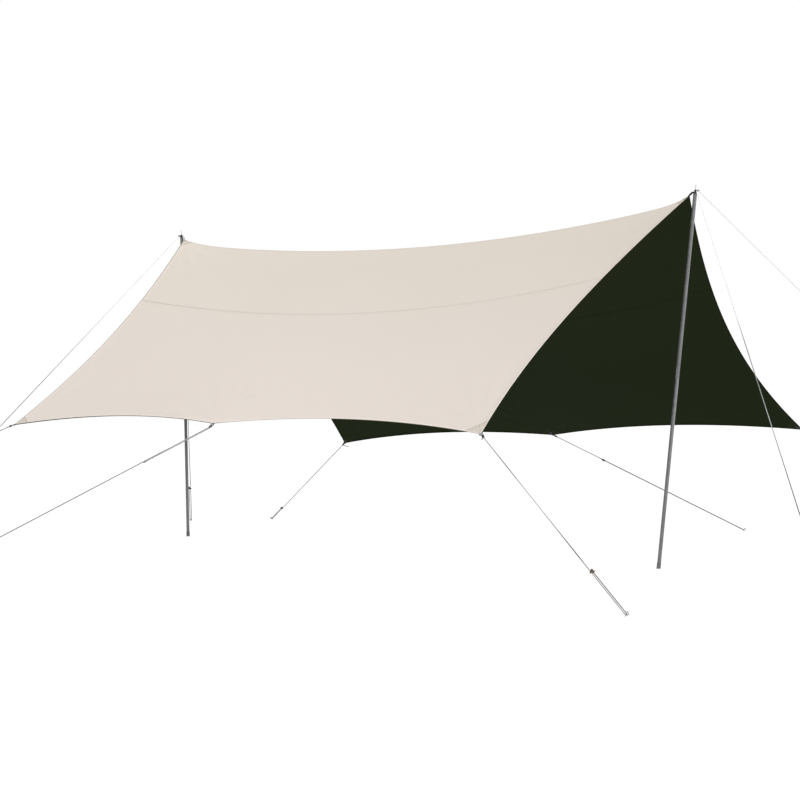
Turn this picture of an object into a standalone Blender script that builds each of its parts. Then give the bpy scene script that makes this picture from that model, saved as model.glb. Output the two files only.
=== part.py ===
"""Canopy tent: an eight-cornered cloth stretched over two poles and stayed by ten guy ropes.

Run with: blender --background --python part.py
Units are metres and +Z is up. The origin is the middle of the right pole's foot, on the ground.
X runs along the ridge towards the right pole, and the front side faces -Y. The driving dimensions are
measured from the tent's middle, the point on the ground that every object's parent empty marks.
"""

import math

import bmesh
import bpy
import numpy as np
from mathutils import Matrix, Vector

# Poles: where each foot stands and how far its top leans outwards
POLE_LENGTH = 2.392
POLES = {
    "left": {"foot_x": -2.221, "lean_x": -0.075},
    "right": {"foot_x": 2.162, "lean_x": 0.271},
}
TUBE_RADIUS = 0.012
TUBE_WALL = 0.001
JOINT_HEIGHT = 1.225
SPIGOT_LENGTH = 0.080
SPIGOT_RADIUS = 0.0106
FOOT_RADIUS = 0.0135
FOOT_HEIGHT = 0.038
FOOT_FLOOR = 0.009
FOOT_TRIM = 0.005
CAP_RADIUS = 0.0125
CAP_HEIGHT = 0.022
PLUG_LENGTH = 0.015
PIN_RADIUS = 0.004
PIN_LENGTH = 0.054

# Cloth: the ridge hangs between the two peaks, and every edge is hollow cut
PEAK_HEIGHT = 2.3615
PEAK_X = {"left": -2.270, "right": 2.391}
RIDGE_MIDDLE_HEIGHT = 2.168
RIDGE_SLANT = -0.0114
RIDGE_TIP_RISE = 0.030
RIDGE_TIP_POWER = {"left": 13, "right": 25}
SIDES = {"front": -1, "back": 1}
CORNERS = {
    "front_left": (-2.157, -1.760, 0.906),
    "front_middle": (0.000, -1.853, 0.930),
    "front_right": (2.139, -1.820, 0.883),
    "back_left": (-2.165, 1.798, 0.719),
    "back_middle": (0.014, 1.854, 0.810),
    "back_right": (2.218, 1.828, 0.871),
}
END_EDGE_DIP = {"front_left": 0.175, "front_right": 0.128, "back_left": 0.168, "back_right": 0.193}
END_EDGE_SKEW = {"front_left": -0.17, "front_right": -0.17, "back_left": 0.20, "back_right": -0.25}
LOWER_EDGE_DIP = {"front": 0.101, "back": 0.094}
CLOTH_THICKNESS = 0.004
CELLS_ALONG = 24
CELLS_DOWN = 16
SEAM_ROW = 6
SEAM_START = 0.3575
SEAM_RISE = 0.0115
SEAM_BOW = 0.068
SEAM_LEAN = 1.2
NET_ROUNDS = 1500

# Corner fittings: a webbing tab holds a three-cornered steel ring
TAB_WIDTH = 0.020
TAB_TIP_WIDTH = 0.002
TAB_HALF_THICKNESS = 0.0015
TAB_LOOP_RADIUS = 0.0038
RING_BAR_OUT = 0.0065
RING_APEX_OUT = 0.0205
RING_HALF_WIDTH = 0.022
RING_BEND = 0.003
WIRE_RADIUS = 0.002
PEAK_STRAP_WIDTH = 0.016
PEAK_STRAP_THICKNESS = 0.002
PEAK_STRAP_BEND_OUT = 0.024
PEAK_STRAP_END = 0.010

# Ropes and pegs: where each bight goes round its peg
ROPE_RADIUS = 0.0025
BIGHT_HEIGHT = 0.012
CORNER_PEGS = {
    "front_left": (-3.270, -3.460),
    "front_middle": (-0.689, -3.581),
    "front_right": (3.449, -2.341),
    "back_left": (-3.166, 1.915),
    "back_middle": (0.874, 3.358),
    "back_right": (3.150, 3.050),
}
POLE_PEGS = {
    ("left", "front"): (-3.985, -1.497),
    ("left", "back"): (-3.577, 1.295),
    ("right", "front"): (4.131, -1.505),
    ("right", "back"): (4.163, 1.855),
}
SLIDER_SHARES = {
    "front_left": 0.780,
    "front_middle": 0.780,
    "front_right": 0.788,
    "back_left": 0.860,
    "back_middle": 0.260,
    "back_right": 0.780,
}
POLE_SLIDER_SHARE = 0.878
SLIDER_SIZE = (0.026, 0.014, 0.005)
STOPPER_SCALE = 1.9
STOPPER_STEP = 0.004
ROPE_FEED = 0.020
TURN_EASE = 0.0004
EYE_TAIL_OUT = 0.019
EYE_TAIL_LIFT = 0.0058
EYE_THROAT_OUT = 0.0105
EYE_THROAT_DROP = 0.0012
EYE_END = 0.0155
PEG_RADIUS = 0.003
PEG_TRIM = 0.010
PEG_SHANK_ABOVE = 0.012
PEG_HOOK_RADIUS = 0.008
PEG_HOOK_TIP = 0.004

# Shared by every piece
GAP = 0.0003
CIRCLE_STEPS = 20
HOLE_STEPS = 12
MERGE_DISTANCE = 0.00001
SMOOTH_ANGLE = math.radians(40)


def material(name, colour, roughness, metallic=0.0):
    """Return a Principled material of one colour."""
    mat = bpy.data.materials.new(name)
    mat.use_nodes = True
    shader = mat.node_tree.nodes["Principled BSDF"]
    shader.inputs["Base Color"].default_value = (*colour, 1.0)
    shader.inputs["Roughness"].default_value = roughness
    shader.inputs["Metallic"].default_value = metallic
    return mat


def add_object(name, data, mat, middle):
    """Link a mesh or curve as a named object under the tent's middle."""
    data.materials.append(mat)
    obj = bpy.data.objects.new(name, data)
    bpy.context.collection.objects.link(obj)
    obj.parent = middle
    return obj


def add_bmesh(name, bm, mat, middle, smooth=False):
    """Turn a closed bmesh into a named object with its faces pointing out."""
    bmesh.ops.recalc_face_normals(bm, faces=bm.faces)
    if bm.calc_volume(signed=True) < 0:
        bmesh.ops.reverse_faces(bm, faces=bm.faces)
    mesh = bpy.data.meshes.new(name)
    bm.to_mesh(mesh)
    bm.free()
    if smooth:
        mesh.shade_smooth()
        mesh.set_sharp_from_angle(angle=SMOOTH_ANGLE)
    return add_object(name, mesh, mat, middle)


def add_tube(name, points, radius, mat, middle, cyclic=False, scales=None):
    """Sweep a round section along a row of points as a curve object with filled ends."""
    curve = bpy.data.curves.new(name, "CURVE")
    curve.dimensions = "3D"
    curve.bevel_depth = radius
    curve.bevel_resolution = 2
    curve.use_fill_caps = True
    spline = curve.splines.new("POLY")
    spline.points.add(len(points) - 1)
    for index, point in enumerate(points):
        spline.points[index].co = (*point, 1.0)
        spline.points[index].radius = scales[index] if scales else 1.0
    spline.use_cyclic_u = cyclic
    return add_object(name, curve, mat, middle)


def arc(centre, across, along, radius, start, end, steps):
    """Return points on an arc, its angles in degrees counted from across towards along."""
    points = []
    for step in range(steps + 1):
        angle = math.radians(start + (end - start) * step / steps)
        points.append(centre + radius * (math.cos(angle) * across + math.sin(angle) * along))
    return points


def lathe(profile, axis_foot, axis):
    """Spin an outline of (radius, distance along the axis) points into a closed solid."""
    bm = bmesh.new()
    verts = [bm.verts.new((radius, 0.0, along)) for radius, along in profile]
    edges = [bm.edges.new(pair) for pair in zip(verts, verts[1:])]
    if profile[0][0] > 0.0:
        edges.append(bm.edges.new((verts[-1], verts[0])))
    bmesh.ops.spin(
        bm, geom=verts + edges, axis=(0, 0, 1), cent=(0, 0, 0), angle=math.tau, steps=CIRCLE_STEPS, use_merge=True
    )
    bmesh.ops.remove_doubles(bm, verts=bm.verts, dist=MERGE_DISTANCE)
    turn = Vector((0, 0, 1)).rotation_difference(axis).to_matrix().to_4x4()
    bmesh.ops.transform(bm, matrix=Matrix.Translation(axis_foot) @ turn, verts=bm.verts)
    return bm


def plate(outline, holes, thickness):
    """Fill an outline in XY around its round holes and give it a thickness along Z."""
    bm = bmesh.new()
    verts = [bm.verts.new((x, y, 0.0)) for x, y in outline]
    for index, vert in enumerate(verts):
        bm.edges.new((vert, verts[(index + 1) % len(verts)]))
    for x, y, radius in holes:
        bmesh.ops.create_circle(bm, segments=HOLE_STEPS, radius=radius, matrix=Matrix.Translation((x, y, 0.0)))
    bmesh.ops.triangle_fill(bm, edges=bm.edges[:], use_beauty=True, use_dissolve=False)
    grown = bmesh.ops.extrude_face_region(bm, geom=bm.faces[:], use_keep_orig=True)
    lifted = [item for item in grown["geom"] if isinstance(item, bmesh.types.BMVert)]
    bmesh.ops.translate(bm, vec=(0, 0, thickness), verts=lifted)
    return bm


def rounded_triangle(corners, radius, steps=4):
    """Return the points of a triangle's outline with its corners rounded."""
    points = []
    for index, corner in enumerate(corners):
        before = (corners[index - 1] - corner).normalized()
        after = (corners[(index + 1) % 3] - corner).normalized()
        half = before.angle(after) / 2
        centre = corner + (before + after).normalized() * radius / math.sin(half)
        first = corner + before * radius / math.tan(half) - centre
        last = corner + after * radius / math.tan(half) - centre
        for step in range(steps + 1):
            points.append(centre + first.slerp(last, step / steps).normalized() * radius)
    return points


def ridge_point(share):
    """Return the ridge's point at a share of the way from the left peak to the right one."""
    middle_x = (PEAK_X["left"] + PEAK_X["right"]) / 2
    half = (PEAK_X["right"] - PEAK_X["left"]) / 2
    reach = 2 * share - 1
    hang = PEAK_HEIGHT - RIDGE_TIP_RISE - RIDGE_MIDDLE_HEIGHT
    power = RIDGE_TIP_POWER["left" if reach < 0 else "right"]
    height = RIDGE_MIDDLE_HEIGHT + hang * reach**2 + RIDGE_TIP_RISE * abs(reach) ** power
    height += RIDGE_SLANT * reach * (1 - reach**2)
    return np.array((middle_x + half * reach, 0.0, height))


def hollow_edge(start, end, towards, dip, skew, share):
    """Return a point on a cut edge that curves from its chord towards the cloth."""
    bow = 4 * share * (1 - share) * dip * (1 + skew * (1 - 2 * share))
    return start + (end - start) * share + bow * towards


def end_edge(side, end, share):
    """Return a point on the edge from a peak down to the corner below it."""
    corner_name = f"{side}_{end}"
    peak = ridge_point(0.0 if end == "left" else 1.0)
    corner = np.array(CORNERS[corner_name])
    chord = (corner - peak) / np.linalg.norm(corner - peak)
    inward = np.array((1.0 if end == "left" else -1.0, 0.0, 0.0))
    inward -= chord * inward.dot(chord)
    inward /= np.linalg.norm(inward)
    return hollow_edge(peak, corner, inward, END_EDGE_DIP[corner_name], END_EDGE_SKEW[corner_name], share)


def lower_edge(side, share):
    """Return a point on the lower edge, which has one hollow on each side of its middle corner."""
    middle = np.array(CORNERS[f"{side}_middle"])
    upslope = ridge_point(0.5) - middle
    upslope /= np.linalg.norm(upslope)
    if share <= 0.5:
        return hollow_edge(np.array(CORNERS[f"{side}_left"]), middle, upslope, LOWER_EDGE_DIP[side], 0.0, 2 * share)
    return hollow_edge(middle, np.array(CORNERS[f"{side}_right"]), upslope, LOWER_EDGE_DIP[side], 0.0, 2 * share - 1)


def seam_share(share):
    """Return how far down the cloth its seam runs, at a share of the way from left to right."""
    return SEAM_START + SEAM_RISE * share**2 + SEAM_BOW * math.sin(math.pi * share**SEAM_LEAN)


def follow_seam(net):
    """Slide the rows of a net along its columns until the seam's row lies on the seam."""
    down = np.linspace(0, 1, CELLS_DOWN + 1)
    for column in range(CELLS_ALONG + 1):
        seam = seam_share(column / CELLS_ALONG)
        wanted = np.interp(down, (0, down[SEAM_ROW], 1), (0, seam, 1))
        net[column] = np.stack([np.interp(wanted, down, net[column, :, axis]) for axis in range(3)], axis=1)


def cloth_net(side):
    """Return one side of the cloth as a net of points that hangs in balance between its four edges."""
    net = np.zeros((CELLS_ALONG + 1, CELLS_DOWN + 1, 3))
    along = np.linspace(0, 1, CELLS_ALONG + 1)
    down = np.linspace(0, 1, CELLS_DOWN + 1)
    net[:, 0] = [ridge_point(u) for u in along]
    net[:, -1] = [lower_edge(side, u) for u in along]
    net[0] = [end_edge(side, "left", v) for v in down]
    net[-1] = [end_edge(side, "right", v) for v in down]
    for row, v in enumerate(down[1:-1], start=1):
        net[1:-1, row] = (1 - v) * net[1:-1, 0] + v * net[1:-1, -1]
    cell_length = np.linalg.norm(net[-1, 0] - net[0, 0]) / CELLS_ALONG
    cell_depth = np.linalg.norm(net[0, -1] - net[0, 0]) / CELLS_DOWN
    pull = (cell_length / cell_depth) ** 2
    for _ in range(NET_ROUNDS):
        lengthwise = net[:-2, 1:-1] + net[2:, 1:-1]
        downwards = net[1:-1, :-2] + net[1:-1, 2:]
        net[1:-1, 1:-1] = (lengthwise + pull * downwards) / (2 + 2 * pull)
    follow_seam(net)
    return net


def panel(net, first_row, last_row):
    """Return a closed cloth panel between two rows of the net, drawn in by half a gap at both rows."""
    rows = net[:, first_row : last_row + 1].copy()
    for row, neighbour in ((0, 1), (-1, -2)):
        step = rows[:, neighbour] - rows[:, row]
        rows[:, row] += step / np.linalg.norm(step, axis=1)[:, None] * GAP
    count = last_row - first_row
    bm = bmesh.new()
    bmesh.ops.create_grid(bm, x_segments=CELLS_ALONG, y_segments=count, size=0.5)
    for vert in bm.verts:
        column = round((vert.co.x + 0.5) * CELLS_ALONG)
        row = round((vert.co.y + 0.5) * count)
        vert.co = rows[column, row]
    top_rim = [edge for edge in bm.edges if edge.is_boundary]
    under = bmesh.ops.duplicate(bm, geom=bm.verts[:] + bm.edges[:] + bm.faces[:])["geom"]
    under_verts = [item for item in under if isinstance(item, bmesh.types.BMVert)]
    under_rim = [item for item in under if isinstance(item, bmesh.types.BMEdge) and item.is_boundary]
    bmesh.ops.translate(bm, vec=(0, 0, -CLOTH_THICKNESS), verts=under_verts)
    bmesh.ops.bridge_loops(bm, edges=top_rim + under_rim)
    return bm


def add_canopy(middle):
    """Add the four cloth panels: on each side an upper one along the ridge and a lower one below the seam."""
    sand = material("sand_cloth", (0.78, 0.70, 0.62), 0.85)
    for side in SIDES:
        net = cloth_net(side)
        add_bmesh(f"{side}_upper_cloth", panel(net, 0, SEAM_ROW), sand, middle, smooth=True)
        add_bmesh(f"{side}_lower_cloth", panel(net, SEAM_ROW, CELLS_DOWN), sand, middle, smooth=True)


def pole_axis(end):
    """Return a pole's foot on the ground and its direction."""
    foot = Vector((POLES[end]["foot_x"], 0.0, 0.0))
    lean = POLES[end]["lean_x"]
    return foot, Vector((lean, 0.0, math.sqrt(POLE_LENGTH**2 - lean**2))).normalized()


def add_pole(end, middle, steel, rubber):
    """Add one pole: a rubber foot, two tubes that plug into each other, and a cap with the top pin."""
    foot, axis = pole_axis(end)
    wall_in = TUBE_RADIUS - TUBE_WALL
    sleeve_in = TUBE_RADIUS + GAP
    cup = lathe(
        [
            (0.0, -FOOT_TRIM),
            (FOOT_RADIUS, -FOOT_TRIM),
            (FOOT_RADIUS, FOOT_HEIGHT),
            (sleeve_in, FOOT_HEIGHT),
            (sleeve_in, FOOT_FLOOR),
            (0.0, FOOT_FLOOR),
        ],
        foot,
        axis,
    )
    cut = bmesh.ops.bisect_plane(
        cup, geom=cup.verts[:] + cup.edges[:] + cup.faces[:], plane_co=(0, 0, 0), plane_no=(0, 0, -1), clear_outer=True
    )
    rim = [item for item in cut["geom_cut"] if isinstance(item, bmesh.types.BMEdge)]
    bmesh.ops.contextual_create(cup, geom=rim)
    add_bmesh(f"{end}_pole_foot", cup, rubber, middle, smooth=True)

    start = FOOT_FLOOR + GAP
    lower = [(TUBE_RADIUS, start), (TUBE_RADIUS, JOINT_HEIGHT), (wall_in, JOINT_HEIGHT), (wall_in, start)]
    add_bmesh(f"{end}_pole_lower_tube", lathe(lower, foot, axis), steel, middle, smooth=True)

    shoulder = JOINT_HEIGHT + GAP
    tip = POLE_LENGTH - CAP_HEIGHT - GAP
    upper = [
        (SPIGOT_RADIUS, JOINT_HEIGHT - SPIGOT_LENGTH),
        (SPIGOT_RADIUS, shoulder),
        (TUBE_RADIUS, shoulder),
        (TUBE_RADIUS, tip),
        (wall_in, tip),
        (wall_in, shoulder + TUBE_WALL * 2),
        (SPIGOT_RADIUS - TUBE_WALL, shoulder + TUBE_WALL * 2),
        (SPIGOT_RADIUS - TUBE_WALL, JOINT_HEIGHT - SPIGOT_LENGTH),
    ]
    add_bmesh(f"{end}_pole_upper_tube", lathe(upper, foot, axis), steel, middle, smooth=True)

    seat = POLE_LENGTH - CAP_HEIGHT
    plug_radius = wall_in - GAP
    cap = [
        (0.0, seat - PLUG_LENGTH),
        (plug_radius, seat - PLUG_LENGTH),
        (plug_radius, seat),
        (CAP_RADIUS, seat),
        (CAP_RADIUS, POLE_LENGTH),
        (PIN_RADIUS, POLE_LENGTH),
        (PIN_RADIUS, POLE_LENGTH + PIN_LENGTH),
        (0.0, POLE_LENGTH + PIN_LENGTH),
    ]
    add_bmesh(f"{end}_pole_cap_pin", lathe(cap, foot, axis), steel, middle, smooth=True)


def add_peak_strap(end, middle, webbing):
    """Add the strap that runs from a peak of the cloth over the pole's cap, with its eye on the pin."""
    foot, axis = pole_axis(end)
    seat = foot + axis * (POLE_LENGTH + GAP)
    inward = 1.0 if end == "left" else -1.0
    across = Vector((0.0, 1.0, 0.0))
    along = across.cross(axis) * inward
    tip = Vector((PEAK_X[end], 0.0, PEAK_HEIGHT))
    bend = seat + along * PEAK_STRAP_BEND_OUT
    fall = (tip - bend).normalized()
    drop = (tip - bend).length - 2 * GAP
    half = PEAK_STRAP_WIDTH / 2
    far = PEAK_STRAP_BEND_OUT + drop
    end_half = PEAK_STRAP_END / 2
    outline = [(-PEAK_STRAP_END, -end_half), (-end_half, -half), (far, -half)]
    outline += [(far, half), (-end_half, half), (-PEAK_STRAP_END, end_half)]
    bm = plate(outline, [(0.0, 0.0, PIN_RADIUS + GAP)], PEAK_STRAP_THICKNESS)
    bmesh.ops.bisect_plane(
        bm, geom=bm.verts[:] + bm.edges[:] + bm.faces[:], plane_co=(PEAK_STRAP_BEND_OUT, 0, 0), plane_no=(1, 0, 0)
    )
    fall_up = fall.cross(across) * inward
    mitre = (axis + fall_up).normalized()
    mitre /= mitre.dot(axis)
    for vert in bm.verts:
        x, y, z = vert.co
        if x > PEAK_STRAP_BEND_OUT + GAP:
            vert.co = bend + fall * (x - PEAK_STRAP_BEND_OUT) + fall_up * z + across * y
        elif x > PEAK_STRAP_BEND_OUT - GAP:
            vert.co = bend + mitre * z + across * y
        else:
            vert.co = seat + along * x + axis * z + across * y
    add_bmesh(f"{end}_peak_strap", bm, webbing, middle)


def rope_frame(tip, contact):
    """Return the unit directions along a rope, level across it, and up at right angles to both."""
    along = (contact - tip).normalized()
    across = Vector((0, 0, 1)).cross(along).normalized()
    return along, across, along.cross(across)


def add_corner_tab(name, tip, frame, middle, webbing):
    """Add the webbing tab of a corner: a tongue pointed at the cloth with a loop round the ring's bar."""
    along, across, up = frame
    start = CLOTH_THICKNESS / 2 * abs(along.z) + 2 * GAP
    outline = [(start, -TAB_HALF_THICKNESS)]
    for step in range(9):
        angle = math.radians(-150 + 300 * step / 8)
        x = RING_BAR_OUT + TAB_LOOP_RADIUS * math.cos(angle)
        outline.append((x, TAB_LOOP_RADIUS * math.sin(angle)))
    outline.append((start, TAB_HALF_THICKNESS))
    bm = plate(outline, [(RING_BAR_OUT, 0.0, WIRE_RADIUS + GAP)], TAB_WIDTH)
    for vert in bm.verts:
        if vert.co.x < start + GAP:
            vert.co.z = (TAB_WIDTH + math.copysign(TAB_TIP_WIDTH, vert.co.z - TAB_WIDTH / 2)) / 2
    place = Matrix((along, up, -across)).transposed().to_4x4()
    place.translation = tip + across * (TAB_WIDTH / 2)
    bmesh.ops.transform(bm, matrix=place, verts=bm.verts)
    add_bmesh(f"{name}_webbing_tab", bm, webbing, middle)


def add_corner_ring(name, tip, frame, middle, steel):
    """Add the three-cornered ring that hangs in a corner's webbing tab."""
    along, across, up = frame
    corners = [
        tip + along * RING_BAR_OUT - across * RING_HALF_WIDTH,
        tip + along * RING_BAR_OUT + across * RING_HALF_WIDTH,
        tip + along * RING_APEX_OUT,
    ]
    add_tube(f"{name}_ring", rounded_triangle(corners, RING_BEND), WIRE_RADIUS, steel, middle, cyclic=True)


def bight_radius():
    """Return the radius of a rope's turn round a peg."""
    return PEG_RADIUS + ROPE_RADIUS + GAP + TURN_EASE


def rope_eye(centre, out, sideways, radius):
    """Return a rope's upper end: its short tail, the turn round what it hangs on and the throat."""
    points = [centre + out * EYE_TAIL_OUT + sideways * EYE_TAIL_LIFT]
    points += arc(centre, out, sideways, radius, 65, 300, 7)
    points += [centre + out * EYE_THROAT_OUT - sideways * EYE_THROAT_DROP, centre + out * EYE_END]
    return points


def rope_tail(start, frame, length, slider_share):
    """Return a rope's lower stretch: through the slider, round the peg and back up to its stopper knot."""
    along, across, _ = frame
    offset = bight_radius()
    slider = start + along * (length * slider_share)
    contact = start + along * length
    points = [slider - along * ROPE_FEED - across * offset]
    points += arc(contact, -across, along, offset, 0, 180, 5)
    points += [slider + across * offset - along * (STOPPER_STEP * count) for count in range(1, 5)]
    scales = [1.0] * (len(points) - 3) + [STOPPER_SCALE, STOPPER_SCALE, 1.0]
    return points, scales


def add_slider(name, start, frame, length, slider_share, middle, plastic):
    """Add the flat slider whose two holes hold both strands of a rope."""
    along, across, up = frame
    width, height, thickness = SLIDER_SIZE
    outline = [
        (-width / 2, -height / 4),
        (-width / 4, -height / 2),
        (width / 4, -height / 2),
        (width / 2, -height / 4),
        (width / 2, height / 4),
        (width / 4, height / 2),
        (-width / 4, height / 2),
        (-width / 2, height / 4),
    ]
    offset = bight_radius()
    hole = ROPE_RADIUS + GAP
    bm = plate(outline, [(-offset, 0.0, hole), (offset, 0.0, hole)], thickness)
    place = Matrix((across, up, along)).transposed().to_4x4()
    place.translation = start + along * (length * slider_share - thickness / 2)
    bmesh.ops.transform(bm, matrix=place, verts=bm.verts)
    add_bmesh(f"{name}_slider", bm, plastic, middle)


def add_peg(name, start, frame, length, middle, steel):
    """Add the part of a peg that stands above the ground, leaning back square to its rope, with its hook."""
    along, _, up = frame
    contact = start + along * length
    below = -contact.z / up.z - PEG_TRIM
    hook_centre = contact + up * PEG_SHANK_ABOVE + along * PEG_HOOK_RADIUS
    points = [contact + up * below, contact]
    points += arc(hook_centre, -along, up, PEG_HOOK_RADIUS, 0, 180, 6)
    points.append(hook_centre + along * PEG_HOOK_RADIUS - up * PEG_HOOK_TIP)
    peg = add_tube(name, points, PEG_RADIUS, steel, middle)
    mesh = bpy.data.meshes.new_from_object(peg)
    curve = peg.data
    bpy.data.objects.remove(peg)
    bpy.data.curves.remove(curve)
    bm = bmesh.new()
    bm.from_mesh(mesh)
    bpy.data.meshes.remove(mesh)
    bmesh.ops.remove_doubles(bm, verts=bm.verts, dist=MERGE_DISTANCE)
    cut = bmesh.ops.bisect_plane(
        bm, geom=bm.verts[:] + bm.edges[:] + bm.faces[:], plane_co=(0, 0, 0), plane_no=(0, 0, -1), clear_outer=True
    )
    rim = [item for item in cut["geom_cut"] if isinstance(item, bmesh.types.BMEdge)]
    bmesh.ops.contextual_create(bm, geom=rim)
    add_bmesh(name, bm, steel, middle, smooth=True)


def add_corner_stay(name, middle, finishes):
    """Add everything that holds one low corner: tab, ring, rope, slider and peg."""
    tip = Vector(CORNERS[name]) - Vector((0, 0, CLOTH_THICKNESS / 2))
    contact = Vector((*CORNER_PEGS[name], BIGHT_HEIGHT))
    frame = rope_frame(tip, contact)
    along, _, up = frame
    length = (contact - tip).length
    share = SLIDER_SHARES[name]
    add_corner_tab(name, tip, frame, middle, finishes["webbing"])
    add_corner_ring(name, tip, frame, middle, finishes["steel"])
    half_angle = math.atan(RING_HALF_WIDTH / (RING_APEX_OUT - RING_BAR_OUT))
    apex = RING_APEX_OUT - RING_BEND / math.sin(half_angle) + RING_BEND
    eye = WIRE_RADIUS + ROPE_RADIUS + GAP + TURN_EASE
    points = rope_eye(tip + along * apex, along, up, eye)
    scales = [1.0] * len(points)
    tail, tail_scales = rope_tail(tip, frame, length, share)
    add_tube(f"{name}_guy_rope", points + tail, ROPE_RADIUS, finishes["rope"], middle, scales=scales + tail_scales)
    add_slider(f"{name}_rope", tip, frame, length, share, middle, finishes["plastic"])
    add_peg(f"{name}_peg", tip, frame, length, middle, finishes["steel"])


def add_pole_stay(end, side, middle, finishes):
    """Add one of a pole's two stays: a rope with its eye on the pin, its slider and its peg."""
    foot, axis = pole_axis(end)
    name = f"{end}_pole_{side}"
    contact = Vector((*POLE_PEGS[(end, side)], BIGHT_HEIGHT))
    layer = 0 if side == "front" else 1
    height = PEAK_STRAP_THICKNESS + 2 * GAP + ROPE_RADIUS + layer * (2 * ROPE_RADIUS + GAP)
    centre = foot + axis * (POLE_LENGTH + height)
    away = contact - centre
    out = (away - axis * away.dot(axis)).normalized()
    sideways = axis.cross(out)
    start = centre + out * EYE_END
    frame = rope_frame(start, contact)
    length = (contact - start).length
    eye = PIN_RADIUS + ROPE_RADIUS + GAP + TURN_EASE
    points = rope_eye(centre, out, sideways, eye)
    scales = [1.0] * len(points)
    tail, tail_scales = rope_tail(start, frame, length, POLE_SLIDER_SHARE)
    add_tube(f"{name}_guy_rope", points + tail, ROPE_RADIUS, finishes["rope"], middle, scales=scales + tail_scales)
    add_slider(f"{name}_rope", start, frame, length, POLE_SLIDER_SHARE, middle, finishes["plastic"])
    add_peg(f"{name}_peg", start, frame, length, middle, finishes["steel"])


def build():
    """Clear the scene and add the whole tent."""
    for obj in list(bpy.data.objects):
        bpy.data.objects.remove(obj)
    middle = bpy.data.objects.new("tent_middle", None)
    bpy.context.collection.objects.link(middle)
    middle.location.x = -POLES["right"]["foot_x"]
    finishes = {
        "steel": material("grey_steel", (0.20, 0.20, 0.205), 0.45, 0.75),
        "rubber": material("grey_rubber", (0.125, 0.126, 0.128), 0.8),
        "webbing": material("black_webbing", (0.02, 0.02, 0.02), 0.9),
        "rope": material("dark_rope", (0.06, 0.061, 0.06), 0.85),
        "plastic": material("brown_slider", (0.14, 0.08, 0.04), 0.5),
    }
    add_canopy(middle)
    for end in POLES:
        add_pole(end, middle, finishes["steel"], finishes["rubber"])
        add_peak_strap(end, middle, finishes["webbing"])
        for side in SIDES:
            add_pole_stay(end, side, middle, finishes)
    for name in CORNERS:
        add_corner_stay(name, middle, finishes)


build()
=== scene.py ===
"""Dresses the canopy tent: its cloth, poles, straps, rings, ropes, sliders and pegs, on a pale studio floor."""

import math

import bmesh
import bpy
import numpy as np
from mathutils import Matrix, Vector


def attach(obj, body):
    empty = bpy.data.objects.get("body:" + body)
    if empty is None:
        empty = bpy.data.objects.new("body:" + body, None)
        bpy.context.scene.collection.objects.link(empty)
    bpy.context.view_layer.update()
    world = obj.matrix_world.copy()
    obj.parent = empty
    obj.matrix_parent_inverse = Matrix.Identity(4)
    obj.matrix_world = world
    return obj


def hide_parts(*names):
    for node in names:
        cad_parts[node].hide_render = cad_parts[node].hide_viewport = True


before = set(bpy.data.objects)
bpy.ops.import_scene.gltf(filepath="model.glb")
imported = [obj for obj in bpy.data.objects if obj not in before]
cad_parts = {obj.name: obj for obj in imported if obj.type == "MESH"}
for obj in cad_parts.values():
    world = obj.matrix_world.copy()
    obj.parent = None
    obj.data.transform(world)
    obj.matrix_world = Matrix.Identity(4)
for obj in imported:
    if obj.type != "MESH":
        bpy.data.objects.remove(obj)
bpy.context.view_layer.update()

bl_info = {
    "name": "Canopy tent dressing",
    "version": (1, 0, 0),
    "blender": (4, 5, 0),
    "location": "3D View > Sidebar > Canopy tent",
    "description": "Cloth, poles, fittings and guy ropes of a ridge-shaped canopy tent",
    "category": "Object",
}

# The tent's plan, in metres from its middle on the ground
MIDDLE_X = -2.162
POLE_LENGTHS = {"left": 2.392, "right": 2.400}
POLES = {"left": (-2.221, -0.075), "right": (2.162, 0.271)}
PEAK_HEIGHT = 2.3680
PEAK_X = {"left": -2.270, "right": 2.391}
RIDGE_MIDDLE_HEIGHT = 2.168
RIDGE_SLANT = -0.0114
RIDGE_TIP_RISE = 0.0365
RIDGE_TIP_POWER = {"left": 13, "right": 25}
SIDES = {"front": -1, "back": 1}
CORNERS = {
    "front_left": (-2.157, -1.760, 0.906),
    "front_middle": (0.000, -1.853, 0.930),
    "front_right": (2.139, -1.820, 0.883),
    "back_left": (-2.165, 1.798, 0.719),
    "back_middle": (0.014, 1.854, 0.810),
    "back_right": (2.218, 1.828, 0.871),
}
CORNER_SHARE = {"left": 0.0, "middle": 0.5, "right": 1.0}
END_EDGE_DIP = {"front_left": 0.182, "front_right": 0.1255, "back_left": 0.168, "back_right": 0.193}
END_EDGE_SKEW = {"front_left": -0.17, "front_right": -0.17, "back_left": 0.20, "back_right": -0.25}
LOWER_EDGE_DIP = {"front": 0.101, "back": 0.094}
SEAM_SHARE = 6 / 16
SEAM_START, SEAM_RISE, SEAM_BOW, SEAM_LEAN = 0.3575, 0.0115, 0.068, 1.2

# Where each peg stands, and how far down each rope its slider sits
CORNER_PEGS = {
    "front_left": (-3.270, -3.460),
    "front_middle": (-0.689, -3.581),
    "front_right": (3.449, -2.341),
    "back_left": (-3.166, 1.915),
    "back_middle": (0.874, 3.358),
    "back_right": (3.150, 3.050),
}
POLE_PEGS = {
    ("left", "front"): (-3.985, -1.497),
    ("left", "back"): (-3.577, 1.295),
    ("right", "front"): (4.131, -1.505),
    ("right", "back"): (4.163, 1.855),
}
BIGHT_HEIGHT = 0.012
SLIDER_SHARE = 0.780
SLIDER_SHARES = {"front_right": 0.788, "back_left": 0.860, "back_middle": 0.260}
POLE_SLIDER_SHARE = 0.878

# Rings that hang square to the hem instead of lying in line with their rope
RING_WAYS = {"front_middle": (0.0, -0.53, -0.85)}
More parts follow.
